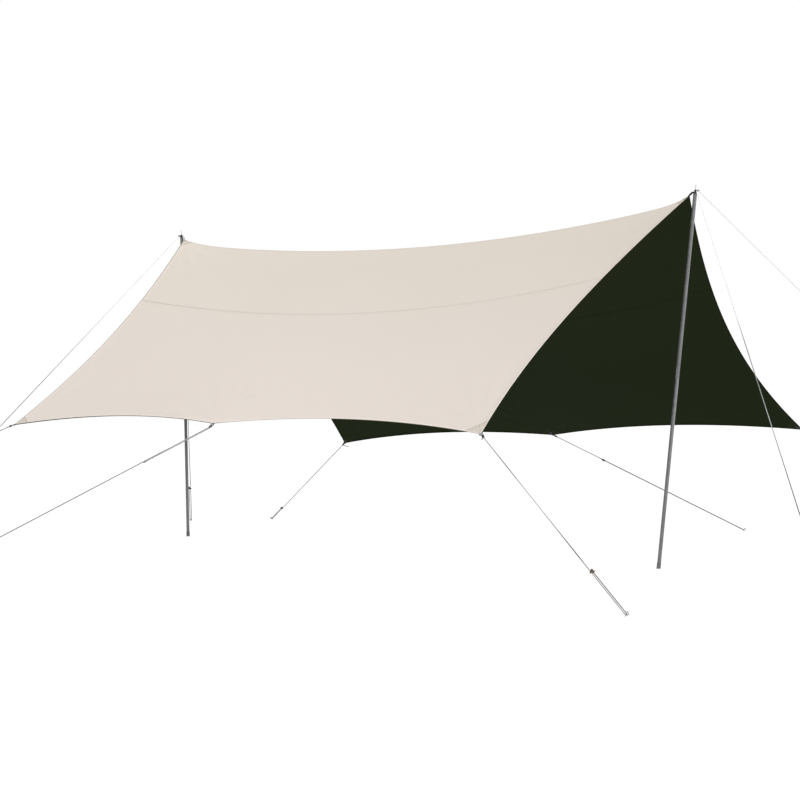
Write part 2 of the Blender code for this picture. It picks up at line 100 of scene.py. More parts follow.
# The corner straps whose outer face is painted light grey, as if lit by the sky; the others are black
SKY_LIT_STRAPS = ("front_middle", "front_right")
# Which way each knot's tail hangs, unless it is long, and how much painted shade it takes
SHORT_TAIL = ((-0.002, -0.002, -0.006), 1.0)
TAILS = {
    "front_left": ((-0.009, -0.014, -0.006), 1.0),
    "front_middle": ((0.0, 0.0, 0.0), 0.0),
    "front_right": ((-0.002, -0.002, -0.011), 1.0),
    "back_left": ((0.038, 0.030, -0.012), 0.2),
    "back_middle": SHORT_TAIL,
    "back_right": SHORT_TAIL,
    "left_pole": ((0.000, 0.000, -0.004), 1.0),
    "right_pole": ((0.000, 0.000, -0.004), 0.0),
}
# The one knot whose tail is long and lies back along its rope
LONG_TAILS = {"front_middle": 0.49}
# How far from the pin the ropes of each pole take painted knot shade
KNOT_SHADE_REACH = {"left": 0.040, "right": 0.020}
# How much painted sheen each stay takes along it: (share of its length, amount) stops
PLAIN = ((0.0, 0.0), (1.0, 0.0))
LEFT_POLE = ((0.35, 1.0), (0.40, 0.65), (0.50, 0.40), (0.58, 0.15), (0.75, 0.08), (0.85, 0.0))
ROPE_SHEEN = {
    "front_left": PLAIN,
    "front_middle": ((0.0, 0.25), (0.15, 0.3), (0.24, 0.4), (0.25, 0.0), (0.3, 0.0), (0.36, 0.05), (1.0, 0.0)),
    "front_right": (
        (0.15, 0.3), (0.25, 0.05), (0.375, 0.45), (0.5, 0.55), (0.625, 0.3), (0.72, 0.0), (0.78, 0.0), (0.8, 0.3),
    ),
    "back_left": PLAIN,
    "back_middle": ((0.5, 0.0), (0.6, 0.15), (0.8, 0.3), (0.85, 0.1), (1.0, 0.0)),
    "back_right": ((0.0, 0.1), (1.0, 0.1)),
    "left_pole_front": LEFT_POLE,
    "left_pole_back": LEFT_POLE,
    "right_pole_front": ((0.40, 1.0), (0.44, 0.75), (0.49, 0.15), (0.69, 0.45), (0.76, 0.25), (0.85, 0.0)),
    "right_pole_back": ((0.3, 0.85), (0.5, 0.65), (0.8, 0.2)),
}

# Poles
TUBE_RADIUS, SPIGOT_RADIUS, TUBE_WALL = 0.012, 0.0106, 0.001
JOINT_HEIGHT, SPIGOT_LENGTH, CRIMP_HEIGHT = 1.225, 0.080, 1.330
FOOT_RADIUS, FOOT_HEIGHT, FOOT_RIBS = 0.0135, 0.038, 5
CAP_RADIUS, CAP_HEIGHT, CAP_COLLAR, CAP_PLUG = 0.0125, 0.022, 0.013, 0.015
PIN_RADIUS, PIN_TOP = 0.004, 2.446
PEAK_BEND_OUT = 0.017

# Rings, ropes, sliders and pegs
RING_BAR_OUT, RING_APEX_OUT, RING_HALF_WIDTH, RING_BEND = 0.0065, 0.0205, 0.022, 0.003
WIRE_RADIUS = 0.002
EYE_END = 0.0155
KNOT_OUT = 0.0078
PIN_KNOT_BACK = 0.002
KNOT_TURNS, LONG_TAIL_TURNS = 1.25, 1.5
CLEAR, WRAP_GAP, PITCH_GAP = 0.0003, 0.0002, 0.0001
CURVE_STEP = 0.0016
PEG_RADIUS, PEG_SHANK_ABOVE, PEG_HOOK_RADIUS = 0.003, 0.012, 0.008
TURN_EASE = 0.0007
SLIDER_SIZE = (0.026, 0.014, 0.005)

# The cloth, its bands and its fineness
NET_LEVELS = ((24, 12), (48, 24), (96, 48), (192, 96))
NET_ROUNDS = 700
CELLS_ALONG, CELLS_ABOVE_SEAM, CELLS_BELOW_SEAM = 160, 32, 56
HEM_WIDTH, SEAM_HALF_WIDTH, RIDGE_HALF_WIDTH = 0.016, 0.006, 0.008
STEP_WIDTH = 0.0015
BAND_RISE = 0.0006
BAND_EASE = 0.0001
BEAD_WIDTH = 0.005
BEAD_SHARES = (0.12, 0.25, 0.5, 0.6, 1.0)
BEAD_DEPTHS = (0.0026, 0.0015, 0.0010, 0.0008, 0.0004)
RIM_TURN = 0.05
CLOTH_DROP = 0.0014
# Pull folds: the corner's shares along and down, and the height
FOLDS = ((0, 1, 0.0028), (0.5, 1, 0.0024), (1, 1, 0.0018), (0, 0, 0.0024), (1, 0, 0.0020))
# Patches: the corner's shares, the ways into the cloth, and the lengths along and down
PATCHES = {
    "left": ((0, 1), (1, -1), (0.125, 0.085)),
    "right": ((1, 1), (-1, -1), (0.120, 0.108)),
    "middle": ((0.5, 1), (1, -1), (0.105, 0.075)),
    "left_peak": ((0, 0), (1, 1), (0.095, 0.090)),
    "right_peak": ((1, 0), (-1, 1), (0.095, 0.090)),
}
PATCH_CELL, PATCH_CLEARANCE, PATCH_INSET, PATCH_PLY = 0.006, 0.00015, 0.007, 0.0006
STRAP_CELLS = 8
# How many plies below the cloth the strap's two ends are sewn
STRAP_PLY_LIFTS = (0.5, 1.7)

# The stage
FLOOR_RADIUS = 90.0
SKY_WAY = (0.762, 0.648)
SUN_WAY = (0.35, -0.75, 0.9)
SUN_SPREAD = 35


def from_middle(x, y, z=0.0):
    """Return a point of the plan in the part's own frame."""
    return Vector((x + MIDDLE_X, y, z))


def smooth_step(low, high, value):
    """Return a smooth ramp from 0 at low to 1 at high."""
    share = np.clip((value - low) / (high - low), 0.0, 1.0)
    return share * share * (3 - 2 * share)


# Node trees


class Wire:
    """A shader socket's value; arithmetic on it adds Math nodes to its tree."""

    def __init__(self, socket):
        self.socket = socket
        self.tree = socket.id_data

    def math(self, operation, *others):
        """Add a Math node on this value and others, and return its result."""
        node = add_node(self.tree, "ShaderNodeMath", dict(enumerate((self, *others))), operation=operation)
        return Wire(node.outputs[0])

    def clamp(self, low=0.0, high=1.0):
        """Return the value held between two limits."""
        return self.math("MAXIMUM", low).math("MINIMUM", high)

    def split(self):
        """Return the x and the y of a vector."""
        return [Wire(out) for out in add_node(self.tree, "ShaderNodeSeparateXYZ", {0: self}).outputs[:2]]

    def __add__(self, other):
        return self.math("ADD", other)

    def __sub__(self, other):
        return self.math("SUBTRACT", other)

    def __mul__(self, other):
        return self.math("MULTIPLY", other)

    def __truediv__(self, other):
        return self.math("DIVIDE", other)

    def __lt__(self, other):
        return self.math("LESS_THAN", other)

    def __abs__(self):
        return self.math("ABSOLUTE")


def plug(node, key, value):
    """Link a value to a node's input, or set the input to it; a colour may leave out its alpha."""
    socket = node.inputs[key]
    if isinstance(value, Wire):
        node.id_data.links.new(value.socket, socket)
    else:
        socket.default_value = (*value, 1.0) if socket.type == "RGBA" and len(value) == 3 else value


def add_node(tree, kind, inputs, **settings):
    """Add a shader node with its settings and its inputs."""
    node = tree.nodes.new(kind)
    for key, value in settings.items():
        setattr(node, key, value)
    for key, value in inputs.items():
        plug(node, key, value)
    return node


def blend(tree, share, first, second, how="MIX"):
    """Mix two colours and return the result."""
    inputs = {0: share, 6: first, 7: second}
    return Wire(add_node(tree, "ShaderNodeMix", inputs, data_type="RGBA", blend_type=how).outputs[2])


def noise(vector, scale, detail=2.0, roughness=0.5):
    """Return the factor of a Noise texture."""
    inputs = {"Vector": vector, "Scale": scale, "Detail": detail, "Roughness": roughness}
    return Wire(add_node(vector.tree, "ShaderNodeTexNoise", inputs).outputs["Fac"])


def attribute(tree, name):
    """Return a float attribute of the mesh."""
    return Wire(add_node(tree, "ShaderNodeAttribute", {}, attribute_name=name).outputs["Fac"])


def uv_map(tree, name):
    """Return one of the piece's own UV maps."""
    return Wire(add_node(tree, "ShaderNodeUVMap", {}, uv_map=name).outputs[0])


def place_on(tree, kind):
    """Return the texture coordinates of a kind."""
    return Wire(add_node(tree, "ShaderNodeTexCoord", {}).outputs[kind])


def start_group(name, **inputs):
    """Make a node group and return it with its inputs; an input with no default is a vector."""
    tree = bpy.data.node_groups.new(name, "ShaderNodeTree")
    for label, default in inputs.items():
        kind = "NodeSocketVector" if default is None else "NodeSocketFloat"
        socket = tree.interface.new_socket(name=label.replace("_", " "), in_out="INPUT", socket_type=kind)
        if default is not None:
            socket.default_value = default
    return tree, [Wire(socket) for socket in tree.nodes.new("NodeGroupInput").outputs[: len(inputs)]]


def end_group(tree, **results):
    """Give a node group its results and return it."""
    for label in results:
        tree.interface.new_socket(name=label, in_out="OUTPUT", socket_type="NodeSocketFloat")
    add_node(tree, "NodeGroupOutput", results)
    return tree


def canvas_weave_group():
    """Group: plain weave of uneven threads, on a map in metres."""
    tree, (place, pitch, slubs) = start_group("canvas_weave", Map=None, Thread_Pitch=0.0012, Slub=0.5)
    over, under = [abs((way * math.pi / pitch).math("SINE")) for way in place.split()]
    stretched = [
        noise(Wire(add_node(tree, "ShaderNodeMapping", {0: place, "Scale": scale}).outputs[0]), 1.0)
        for scale in ((12.0, 420.0, 1.0), (420.0, 12.0, 1.0))
    ]
    slub = (stretched[0] + stretched[1] - 1.0) * slubs
    return end_group(tree, Height=over * under + slub, Tone=slub * 0.5 + 0.5)


def stitch_row_group():
    """Group: a row of stitches at an offset from an edge, sunk into the cloth."""
    inputs = {"Distance": 0.0, "Run": 0.0, "Offset": 0.004, "Pitch": 0.0045, "Thread": 0.0009}
    tree, (distance, run, offset, pitch, thread) = start_group("stitch_row", **inputs)
    beside = abs(distance - offset)
    mask = (beside < thread) * ((run / pitch).math("FRACT") < 0.72)
    sunk = (beside / (thread * 3.0)).math("MINIMUM", 1.0) - 1.0
    return end_group(tree, Mask=mask, Height=mask * 0.8 + sunk)


def strap_weave_group():
    """Group: the ribs of woven webbing, on a map in metres along and across the strap."""
    tree, (place, pitch) = start_group("strap_weave", Map=None, Rib_Pitch=0.0016)
    along, across = [way * math.tau / pitch for way in place.split()]
    height = (along * 0.7).math("SINE") * 0.4 + across.math("SINE")
    # Tone: painted shade in the grooves between the ribs, painted light on their crests.
    return end_group(tree, Height=height, Tone=height * 0.3 + 0.5)


def rope_braid_group():
    """Group: the crossing strands of a braided rope, on a map of turns round it and metres along it."""
    tree, (place, lay) = start_group("rope_braid", Map=None, Lay=0.009)
    turns, metres = place.split()
    turned, along = turns * 4.0, metres / lay * 4.0
    left, right = [(way * math.tau).math("SINE") for way in (turned + along, turned - along)]
    height = left.math("MAXIMUM", right)
    # Tone: painted shade between the strands, painted light on their crests.
    return end_group(tree, Height=height, Tone=height * 0.5 + 0.5)


def handling_wear_group():
    """Group: fine scratches and dull patches that handling leaves on metal, rubber and plastic."""
    tree, (place, scale, amount) = start_group("handling_wear", Place=None, Scale=40.0, Amount=0.5)
    patch = ((noise(place, scale, 4.0, 0.6) - 0.42) * 5.0).clamp()
    return end_group(tree, Patch=patch * amount, Grain=noise(place, scale * 18.0, 3.0, 0.6))


GROUP_MAKERS = {
    "canvas_weave": canvas_weave_group,
    "stitch_row": stitch_row_group,
    "strap_weave": strap_weave_group,
    "rope_braid": rope_braid_group,
    "handling_wear": handling_wear_group,
}


def use_group(tree, name, **values):
    """Place a shared node group in a material, making it the first time, and return its results by name."""
    group = bpy.data.node_groups.get(name) or GROUP_MAKERS[name]()
    node = add_node(tree, "ShaderNodeGroup", {}, node_tree=group)
    for label, value in values.items():
        plug(node, label, value)
    return {output.name: Wire(output) for output in node.outputs}


def start_material(name, roughness, metallic=0.0, gloss=0.5, sheen=0.0):
    """Make a material with its constants on the Principled shader; return it, its tree and the shader."""
    mat = bpy.data.materials.new(name)
    mat.use_nodes = True
    shader = mat.node_tree.nodes["Principled BSDF"]
    constants = {"Roughness": roughness, "Metallic": metallic, "Specular IOR Level": gloss, "Sheen Weight": sheen}
    for label, value in constants.items():
        plug(shader, label, value)
    return mat, mat.node_tree, shader


def finish_material(mat, shader, colour, height, depth):
    """Give a material its colour and a bump of a depth in metres, and return it."""
    plug(shader, "Base Color", colour)
    bump = add_node(mat.node_tree, "ShaderNodeBump", {"Strength": 1.0, "Distance": depth, "Height": height})
    plug(shader, "Normal", Wire(bump.outputs[0]))
    return mat


def stitched(tree, colour, height, rows, thread, share, lift=None, **stitch):
    """Add stitch rows over a colour and a height; rows are (distance, run, offset) triples."""
    for distance, run, offset in rows:
        row = use_group(tree, "stitch_row", Distance=distance, Run=run, Offset=offset, **stitch)
        mask = row["Mask"] * share
        colour = blend(tree, mask, colour, thread)
        height = height + (row["Height"] if lift is None else mask * lift)
    return colour, height


def cloth_material(name, colour, second, thread, roughness, gloss, hem_tone, crease_shade_tone, roll_colour):
    """Canvas with its weave, slubs, soft tone changes, hem, seam and ridge stitching, and a painted shade line along
    the seam's crease; on the inner face the darker second tone is painted shade towards the lower edge.
    """
    mat, tree, shader = start_material(name, roughness, gloss=gloss)
    cloth = uv_map(tree, "cloth")
    x, y = cloth.split()
    edge, lower, end, ridge, seam = [
        attribute(tree, f"from_{key}") for key in ("edge", "lower", "end", "ridge", "seam")
    ]
    weave = use_group(tree, "canvas_weave", Map=cloth)
    # The second tone comes in towards the lower edge; on the inner face it is darker, a painted shade.
    drift_and_shade = noise(place_on(tree, "Object"), 0.9, 3.0) * 0.8 + (ridge * 0.8 - 0.7)
    colour = blend(tree, drift_and_shade.clamp(), colour, second)
    # Painted shade: a dark line along the seam's crease, stronger towards the far end.
    seam_crease_shade = abs(seam - SEAM_HALF_WIDTH) < 0.0016
    far = (x * -0.4 + 0.3).clamp(0.4, 1.0)
    tone = weave["Tone"] * 0.06 + 0.97 + (edge < HEM_WIDTH) * hem_tone + seam_crease_shade * far * crease_shade_tone
    colour = blend(tree, 1.0, colour, tone, "MULTIPLY")
    roll = (edge < 0.0022).math("MAXIMUM", end < 0.0085)
    fade = (x * -0.45 - 0.2).clamp(0.2, 0.65) * (x < RIM_TURN)
    colour = blend(tree, roll * fade, colour, roll_colour)
    rows = [
        (lower, x, HEM_WIDTH - 0.003),
        (end, y, HEM_WIDTH - 0.003),
        (seam, x, SEAM_HALF_WIDTH - 0.002),
        (seam, x, 0.002 - SEAM_HALF_WIDTH),
        (ridge, x, RIDGE_HALF_WIDTH - 0.002),
    ]
    return finish_material(mat, shader, *stitched(tree, colour, weave["Height"] * 0.3, rows, thread, 0.5), 0.0004)


def patch_material(name, colour, thread, roughness, gloss):
    """Double canvas of a corner patch, with stitch rows inside its cut edge."""
    mat, tree, shader = start_material(name, roughness, gloss=gloss)
    cloth = uv_map(tree, "cloth")
    weave = use_group(tree, "canvas_weave", Map=cloth)
    tone = noise(cloth, 60.0) * 0.70 + (weave["Tone"] * 0.06 + 0.62)
    cut = attribute(tree, "from_cut")
    colour = blend(tree, 1.0, colour, tone, "MULTIPLY")
    colour = blend(tree, cut < 0.003, colour, thread)
    rows = [(cut, cloth.split()[0], offset) for offset in (0.005, 0.012, 0.024)]
    return finish_material(mat, shader, *stitched(tree, colour, weave["Height"] * 0.3, rows, thread, 0.9), 0.0005)


def strap_material(name, colour, thread):
    """Ribbed webbing with a box of stitches where it is sewn down."""
    mat, tree, shader = start_material(name, 0.75, gloss=0.2, sheen=0.05)
    strap = uv_map(tree, "strap")
    run, across = strap.split()
    weave = use_group(tree, "strap_weave", Map=strap)
    # Painted shade in the rib grooves and painted light on the rib crests.
    colour = blend(tree, weave["Tone"], [part * 0.7 for part in colour], [part * 1.5 for part in colour])
    rows = [(abs(across), run, 0.0085), (run, across, 0.004), (run, across, 0.030)]
    look = stitched(
        tree, colour, weave["Height"], rows, thread, attribute(tree, "sewn"), lift=1.5, Pitch=0.0032, Thread=0.0006
    )
    return finish_material(mat, shader, *look, 0.00025)


def rope_material(name, colour, painted_sheen, knot_shade):
    """Braided rope, with painted shade between its strands and in its knots and tails, and a painted sheen on its
    paler stretches.
    """
    mat, tree, shader = start_material(name, 0.8, gloss=0.2)
    braid = use_group(tree, "rope_braid", Map=uv_map(tree, "rope"))
    colour = blend(tree, attribute(tree, "painted_sheen"), colour, painted_sheen)
    colour = blend(tree, attribute(tree, "knot_shade"), colour, knot_shade)
    colour = blend(tree, 1.0, colour, braid["Tone"] * 0.5 + 0.75, "MULTIPLY")
    return finish_material(mat, shader, colour, braid["Height"], 0.0004)


def worn_material(name, colour, worn_colour, roughness, metallic, scale, amount, gloss=0.5):
    """Metal, rubber or plastic that handling has dulled in patches and scratched."""
    mat, tree, shader = start_material(name, roughness, metallic, gloss)
    wear = use_group(tree, "handling_wear", Place=place_on(tree, "Object"), Scale=scale, Amount=amount)
    plug(shader, "Roughness", wear["Patch"] * 0.15 + (wear["Grain"] * 0.25 + (roughness - 0.12)))
    return finish_material(mat, shader, blend(tree, wear["Patch"], colour, worn_colour), wear["Grain"], 0.00003)


# Shared shape tools


def add_piece(name, bm, mats, replaced, smooth=35.0):
    """Turn a bmesh into a piece of the object that rides on the root body."""
    mesh = bpy.data.meshes.new(name)
    bm.to_mesh(mesh)
    bm.free()
    mesh.shade_smooth()
    mesh.set_sharp_from_angle(angle=math.radians(smooth))
    obj = bpy.data.objects.new(name, mesh)
    bpy.context.scene.collection.objects.link(obj)
    for mat in mats:
        mesh.materials.append(mat)
    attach(obj, "root")
    if replaced:
        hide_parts(*replaced)
    return obj


def everything(bm):
    """Return all of a bmesh's elements."""
    return bm.verts[:] + bm.edges[:] + bm.faces[:]


def of_kind(items, kind):
    """Return the items of a bmesh type."""
    return [item for item in items if isinstance(item, kind)]


def face_outwards(bm):
    """Point every face of a closed shape outwards."""
    bmesh.ops.recalc_face_normals(bm, faces=bm.faces)
    if bm.calc_volume(signed=True) < 0:
        bmesh.ops.reverse_faces(bm, faces=bm.faces)


def close_up(bm):
    """Merge doubles and point every face outwards."""
    bmesh.ops.remove_doubles(bm, verts=bm.verts, dist=0.000005)
    face_outwards(bm)


def cut_at_ground(bm):
    """Cut a shape off level at the ground and close it there."""
    cut = bmesh.ops.bisect_plane(bm, geom=everything(bm), plane_co=(0, 0, 0), plane_no=(0, 0, -1), clear_outer=True)
    bmesh.ops.contextual_create(bm, geom=of_kind(cut["geom_cut"], bmesh.types.BMEdge))
    close_up(bm)


def soften(bm, width):
    """Bevel the sharp edges."""
    sharp = [edge for edge in bm.edges if len(edge.link_faces) == 2 and edge.calc_face_angle(0.0) > math.radians(30)]
    bmesh.ops.bevel(
        bm, geom=sharp, offset=width, affect="EDGES", segments=2, profile=0.5, material=-1, clamp_overlap=True
    )


def flat_grid(columns, rows):
    """Return a flat grid with the column and the row of each of its vertices."""
    bm = bmesh.new()
    bmesh.ops.create_grid(bm, x_segments=columns - 1, y_segments=rows - 1, size=0.5)
    bm.verts.index_update()
    places = np.array([vert.co for vert in bm.verts])[:, :2] + 0.5
    return bm, *np.rint(places * (columns - 1, rows - 1)).astype(int).T


def shell(bm, near, far, marks, map_name, map_keys):
    """Turn an open sheet into a closed shell and return its far faces and its rim faces.

    Its vertices go to near and their copies to far, marks become attributes, and two of them become its map.
    """
    map_layer = bm.loops.layers.uv.new(map_name)
    layers = {key: bm.verts.layers.float.new(key) for key in marks}
    verts = bm.verts[:]
    for index, vert in enumerate(verts):
        vert.co = near[index]
        for key, layer in layers.items():
            vert[layer] = marks[key][index]
    rim = [edge for edge in bm.edges if edge.is_boundary]
    grown = bmesh.ops.duplicate(bm, geom=everything(bm))
    for index, vert in enumerate(verts):
        grown["vert_map"][vert].co = far[index]
    far_faces = of_kind(grown["geom"], bmesh.types.BMFace)
    far_rim = [edge for edge in of_kind(grown["geom"], bmesh.types.BMEdge) if edge.is_boundary]
    rim_faces = bmesh.ops.bridge_loops(bm, edges=rim + far_rim)["faces"]
    face_outwards(bm)
    across, down = (layers[key] for key in map_keys)
    for face in bm.faces:
        for loop in face.loops:
            loop[map_layer].uv = (loop.vert[across], loop.vert[down])
    return far_faces, rim_faces


def lathe(profile, steps=48):
    """Spin (radius, height) points round Z into a closed solid."""
    bm = bmesh.new()
    verts = [bm.verts.new((radius, 0.0, height)) for radius, height in profile]
    edges = [bm.edges.new(pair) for pair in zip(verts, verts[1:])]
    if profile[0][0] > 0.0:
        edges.append(bm.edges.new((verts[-1], verts[0])))
    bmesh.ops.spin(
        bm, geom=verts + edges, axis=(0, 0, 1), cent=(0, 0, 0), angle=math.tau, steps=steps, use_merge=True
    )
    close_up(bm)
    return bm


def run_lengths(points):
    """Return the length along a row of points up to each of them."""
    return np.concatenate(([0.0], np.cumsum([(b - a).length for a, b in zip(points, points[1:])])))


def round_through(points, spacing):
    """Return points at about even spacing on a smooth curve through the given ones."""
    points = [Vector(point) for point in points]
    ends = [2 * points[0] - points[1], *points, 2 * points[-1] - points[-2]]
    curve = []
    for before, start, end, after in zip(ends, ends[1:], ends[2:], ends[3:]):
        steps = max(1, round((end - start).length / spacing))
        for t in (step / steps for step in range(steps)):
            pull = (after - start) * t * t * (t - 1) + (end - before) * t * (t - 1) ** 2
            curve.append(start * (1 + 2 * t) * (1 - t) ** 2 + end * t * t * (3 - 2 * t) + pull * 0.5)
    return [*curve, points[-1]]


def sweep(points, radius, sides=12, cyclic=False, marks=None):
    """Sweep a round section along points with Blender's curve bevel; marks make it a rope with its map and marks."""
    curve = bpy.data.curves.new("sweep", "CURVE")
    curve.dimensions = "3D"
    curve.bevel_depth = radius
    curve.bevel_resolution = sides // 2 - 2
    curve.use_fill_caps = True
    spline = curve.splines.new("POLY")
    spline.points.add(len(points) - 1)
    for place, point in zip(spline.points, points):
        place.co = (*point, 1.0)
    spline.use_cyclic_u = cyclic
    holder = bpy.data.objects.new("sweep", curve)
    mesh = bpy.data.meshes.new_from_object(holder)
    bm = bmesh.new()
    bm.from_mesh(mesh)
    bpy.data.objects.remove(holder)
    bpy.data.curves.remove(curve)
    bpy.data.meshes.remove(mesh)
    for layer in list(bm.loops.layers.uv):
        bm.loops.layers.uv.remove(layer)
    if marks:
        map_rope(bm, points, marks)
    close_up(bm)
    return bm


def map_rope(bm, points, marks):
    """Map a swept rope, x counting turns round it and y metres along it, and set its marks from their values."""
    layer = bm.loops.layers.uv.new("rope")
    layers = {key: bm.verts.layers.float.new(key) for key in marks}
    bm.verts.ensure_lookup_table()
    sides = len(bm.verts) // len(points)
    runs = run_lengths(points)
    rings = [min(index // sides, len(points) - 1) for index in range(len(bm.verts))]
    for vert in bm.verts:
        for key, values in marks.items():
            vert[layers[key]] = float(values[rings[vert.index]])
    for face in bm.faces:
        if len(face.verts) > 4:
            continue
        turns = [vert.index % sides for vert in face.verts]
        wraps_round = max(turns) - min(turns) > sides // 2
        for loop in face.loops:
            turn = loop.vert.index % sides
            turn = sides if wraps_round and turn == 0 else turn
            loop[layer].uv = (turn / sides, runs[rings[loop.vert.index]])


def arc(centre, across, along, radius, start, end, steps):
    """Return points on an arc, its angles in degrees counted from across towards along."""
    angles = [math.radians(start + (end - start) * step / steps) for step in range(steps + 1)]
    return [centre + radius * (math.cos(angle) * across + math.sin(angle) * along) for angle in angles]


def rope_frame(start, end):
    """Return the unit directions along a rope, level across it, and up at right angles to both."""
    along = (end - start).normalized()
    across = Vector((0, 0, 1)).cross(along).normalized()
    return along, across, along.cross(across)


# Cloth


def ridge_point(share):
    """Return the ridge's point at a share of the way from the left peak to the right one."""
    middle_x = (PEAK_X["left"] + PEAK_X["right"]) / 2
    half = (PEAK_X["right"] - PEAK_X["left"]) / 2
    reach = 2 * share - 1
    hang = PEAK_HEIGHT - RIDGE_TIP_RISE - RIDGE_MIDDLE_HEIGHT
    power = RIDGE_TIP_POWER["left" if reach < 0 else "right"]
    height = RIDGE_MIDDLE_HEIGHT + hang * reach**2 + RIDGE_TIP_RISE * abs(reach) ** power
    return np.array((middle_x + half * reach, 0.0, height + RIDGE_SLANT * reach * (1 - reach**2)))


def hollow_edge(start, end, towards, dip, skew, share):
    """Return a point on a cut edge that curves from its chord towards the cloth."""
    bow = 4 * share * (1 - share) * dip * (1 + skew * (1 - 2 * share))
    return start + (end - start) * share + bow * towards


def end_edge(side, end, share):
    """Return a point on the edge from a peak down to the corner below it."""
    name = f"{side}_{end}"
    peak, corner = ridge_point(CORNER_SHARE[end]), np.array(CORNERS[name])
    chord = (corner - peak) / np.linalg.norm(corner - peak)
    inward = np.array((1.0 if end == "left" else -1.0, 0.0, 0.0))
    inward -= chord * inward.dot(chord)
    inward /= np.linalg.norm(inward)
    return hollow_edge(peak, corner, inward, END_EDGE_DIP[name], END_EDGE_SKEW[name], share)


def lower_edge(side, share):
    """Return a point on the lower edge, which has one hollow on each side of its middle corner."""
    left, middle, right = (np.array(CORNERS[f"{side}_{where}"]) for where in CORNER_SHARE)
    upslope = ridge_point(0.5) - middle
    upslope /= np.linalg.norm(upslope)
    start, end, share = (left, middle, 2 * share) if share <= 0.5 else (middle, right, 2 * share - 1)
    return hollow_edge(start, end, upslope, LOWER_EDGE_DIP[side], 0.0, share)


def seam_share(share):
    """Return how far down the cloth its seam runs, at shares of the way from left to right."""
    share = np.clip(share, 0.0, 1.0)
    return SEAM_START + SEAM_RISE * share**2 + SEAM_BOW * np.sin(math.pi * share**SEAM_LEAN)


def relaxed_net(side):
    """Return one side of the cloth as a fine net that hangs in balance between its four edges."""
    net = None
    for cells_along, cells_down in NET_LEVELS:
        along, down = np.linspace(0, 1, cells_along + 1), np.linspace(0, 1, cells_down + 1)
        top = np.array([ridge_point(share) for share in along])
        low = np.array([lower_edge(side, share) for share in along])
        if net is None:
            share = down[None, :, None]
            finer = (1 - share) * top[:, None] + share * low[:, None]
        else:
            finer = np.zeros((cells_along + 1, cells_down + 1, 3))
            finer[::2, ::2] = net
            finer[1::2, ::2] = (net[:-1] + net[1:]) / 2
            finer[:, 1::2] = (finer[:, :-1:2] + finer[:, 2::2]) / 2
        net = finer
        net[:, 0], net[:, -1] = top, low
        net[0], net[-1] = ([end_edge(side, end, share) for share in down] for end in ("left", "right"))
        cell_length = np.linalg.norm(net[-1, 0] - net[0, 0]) / cells_along
        cell_depth = np.linalg.norm(net[0, -1] - net[0, 0]) / cells_down
        pull = (cell_length / cell_depth) ** 2
        for _ in range(NET_ROUNDS):
            lengthwise = net[:-2, 1:-1] + net[2:, 1:-1]
            downwards = net[1:-1, :-2] + net[1:-1, 2:]
            net[1:-1, 1:-1] = (lengthwise + pull * downwards) / (2 + 2 * pull)
    net[..., 0] += MIDDLE_X
    return net


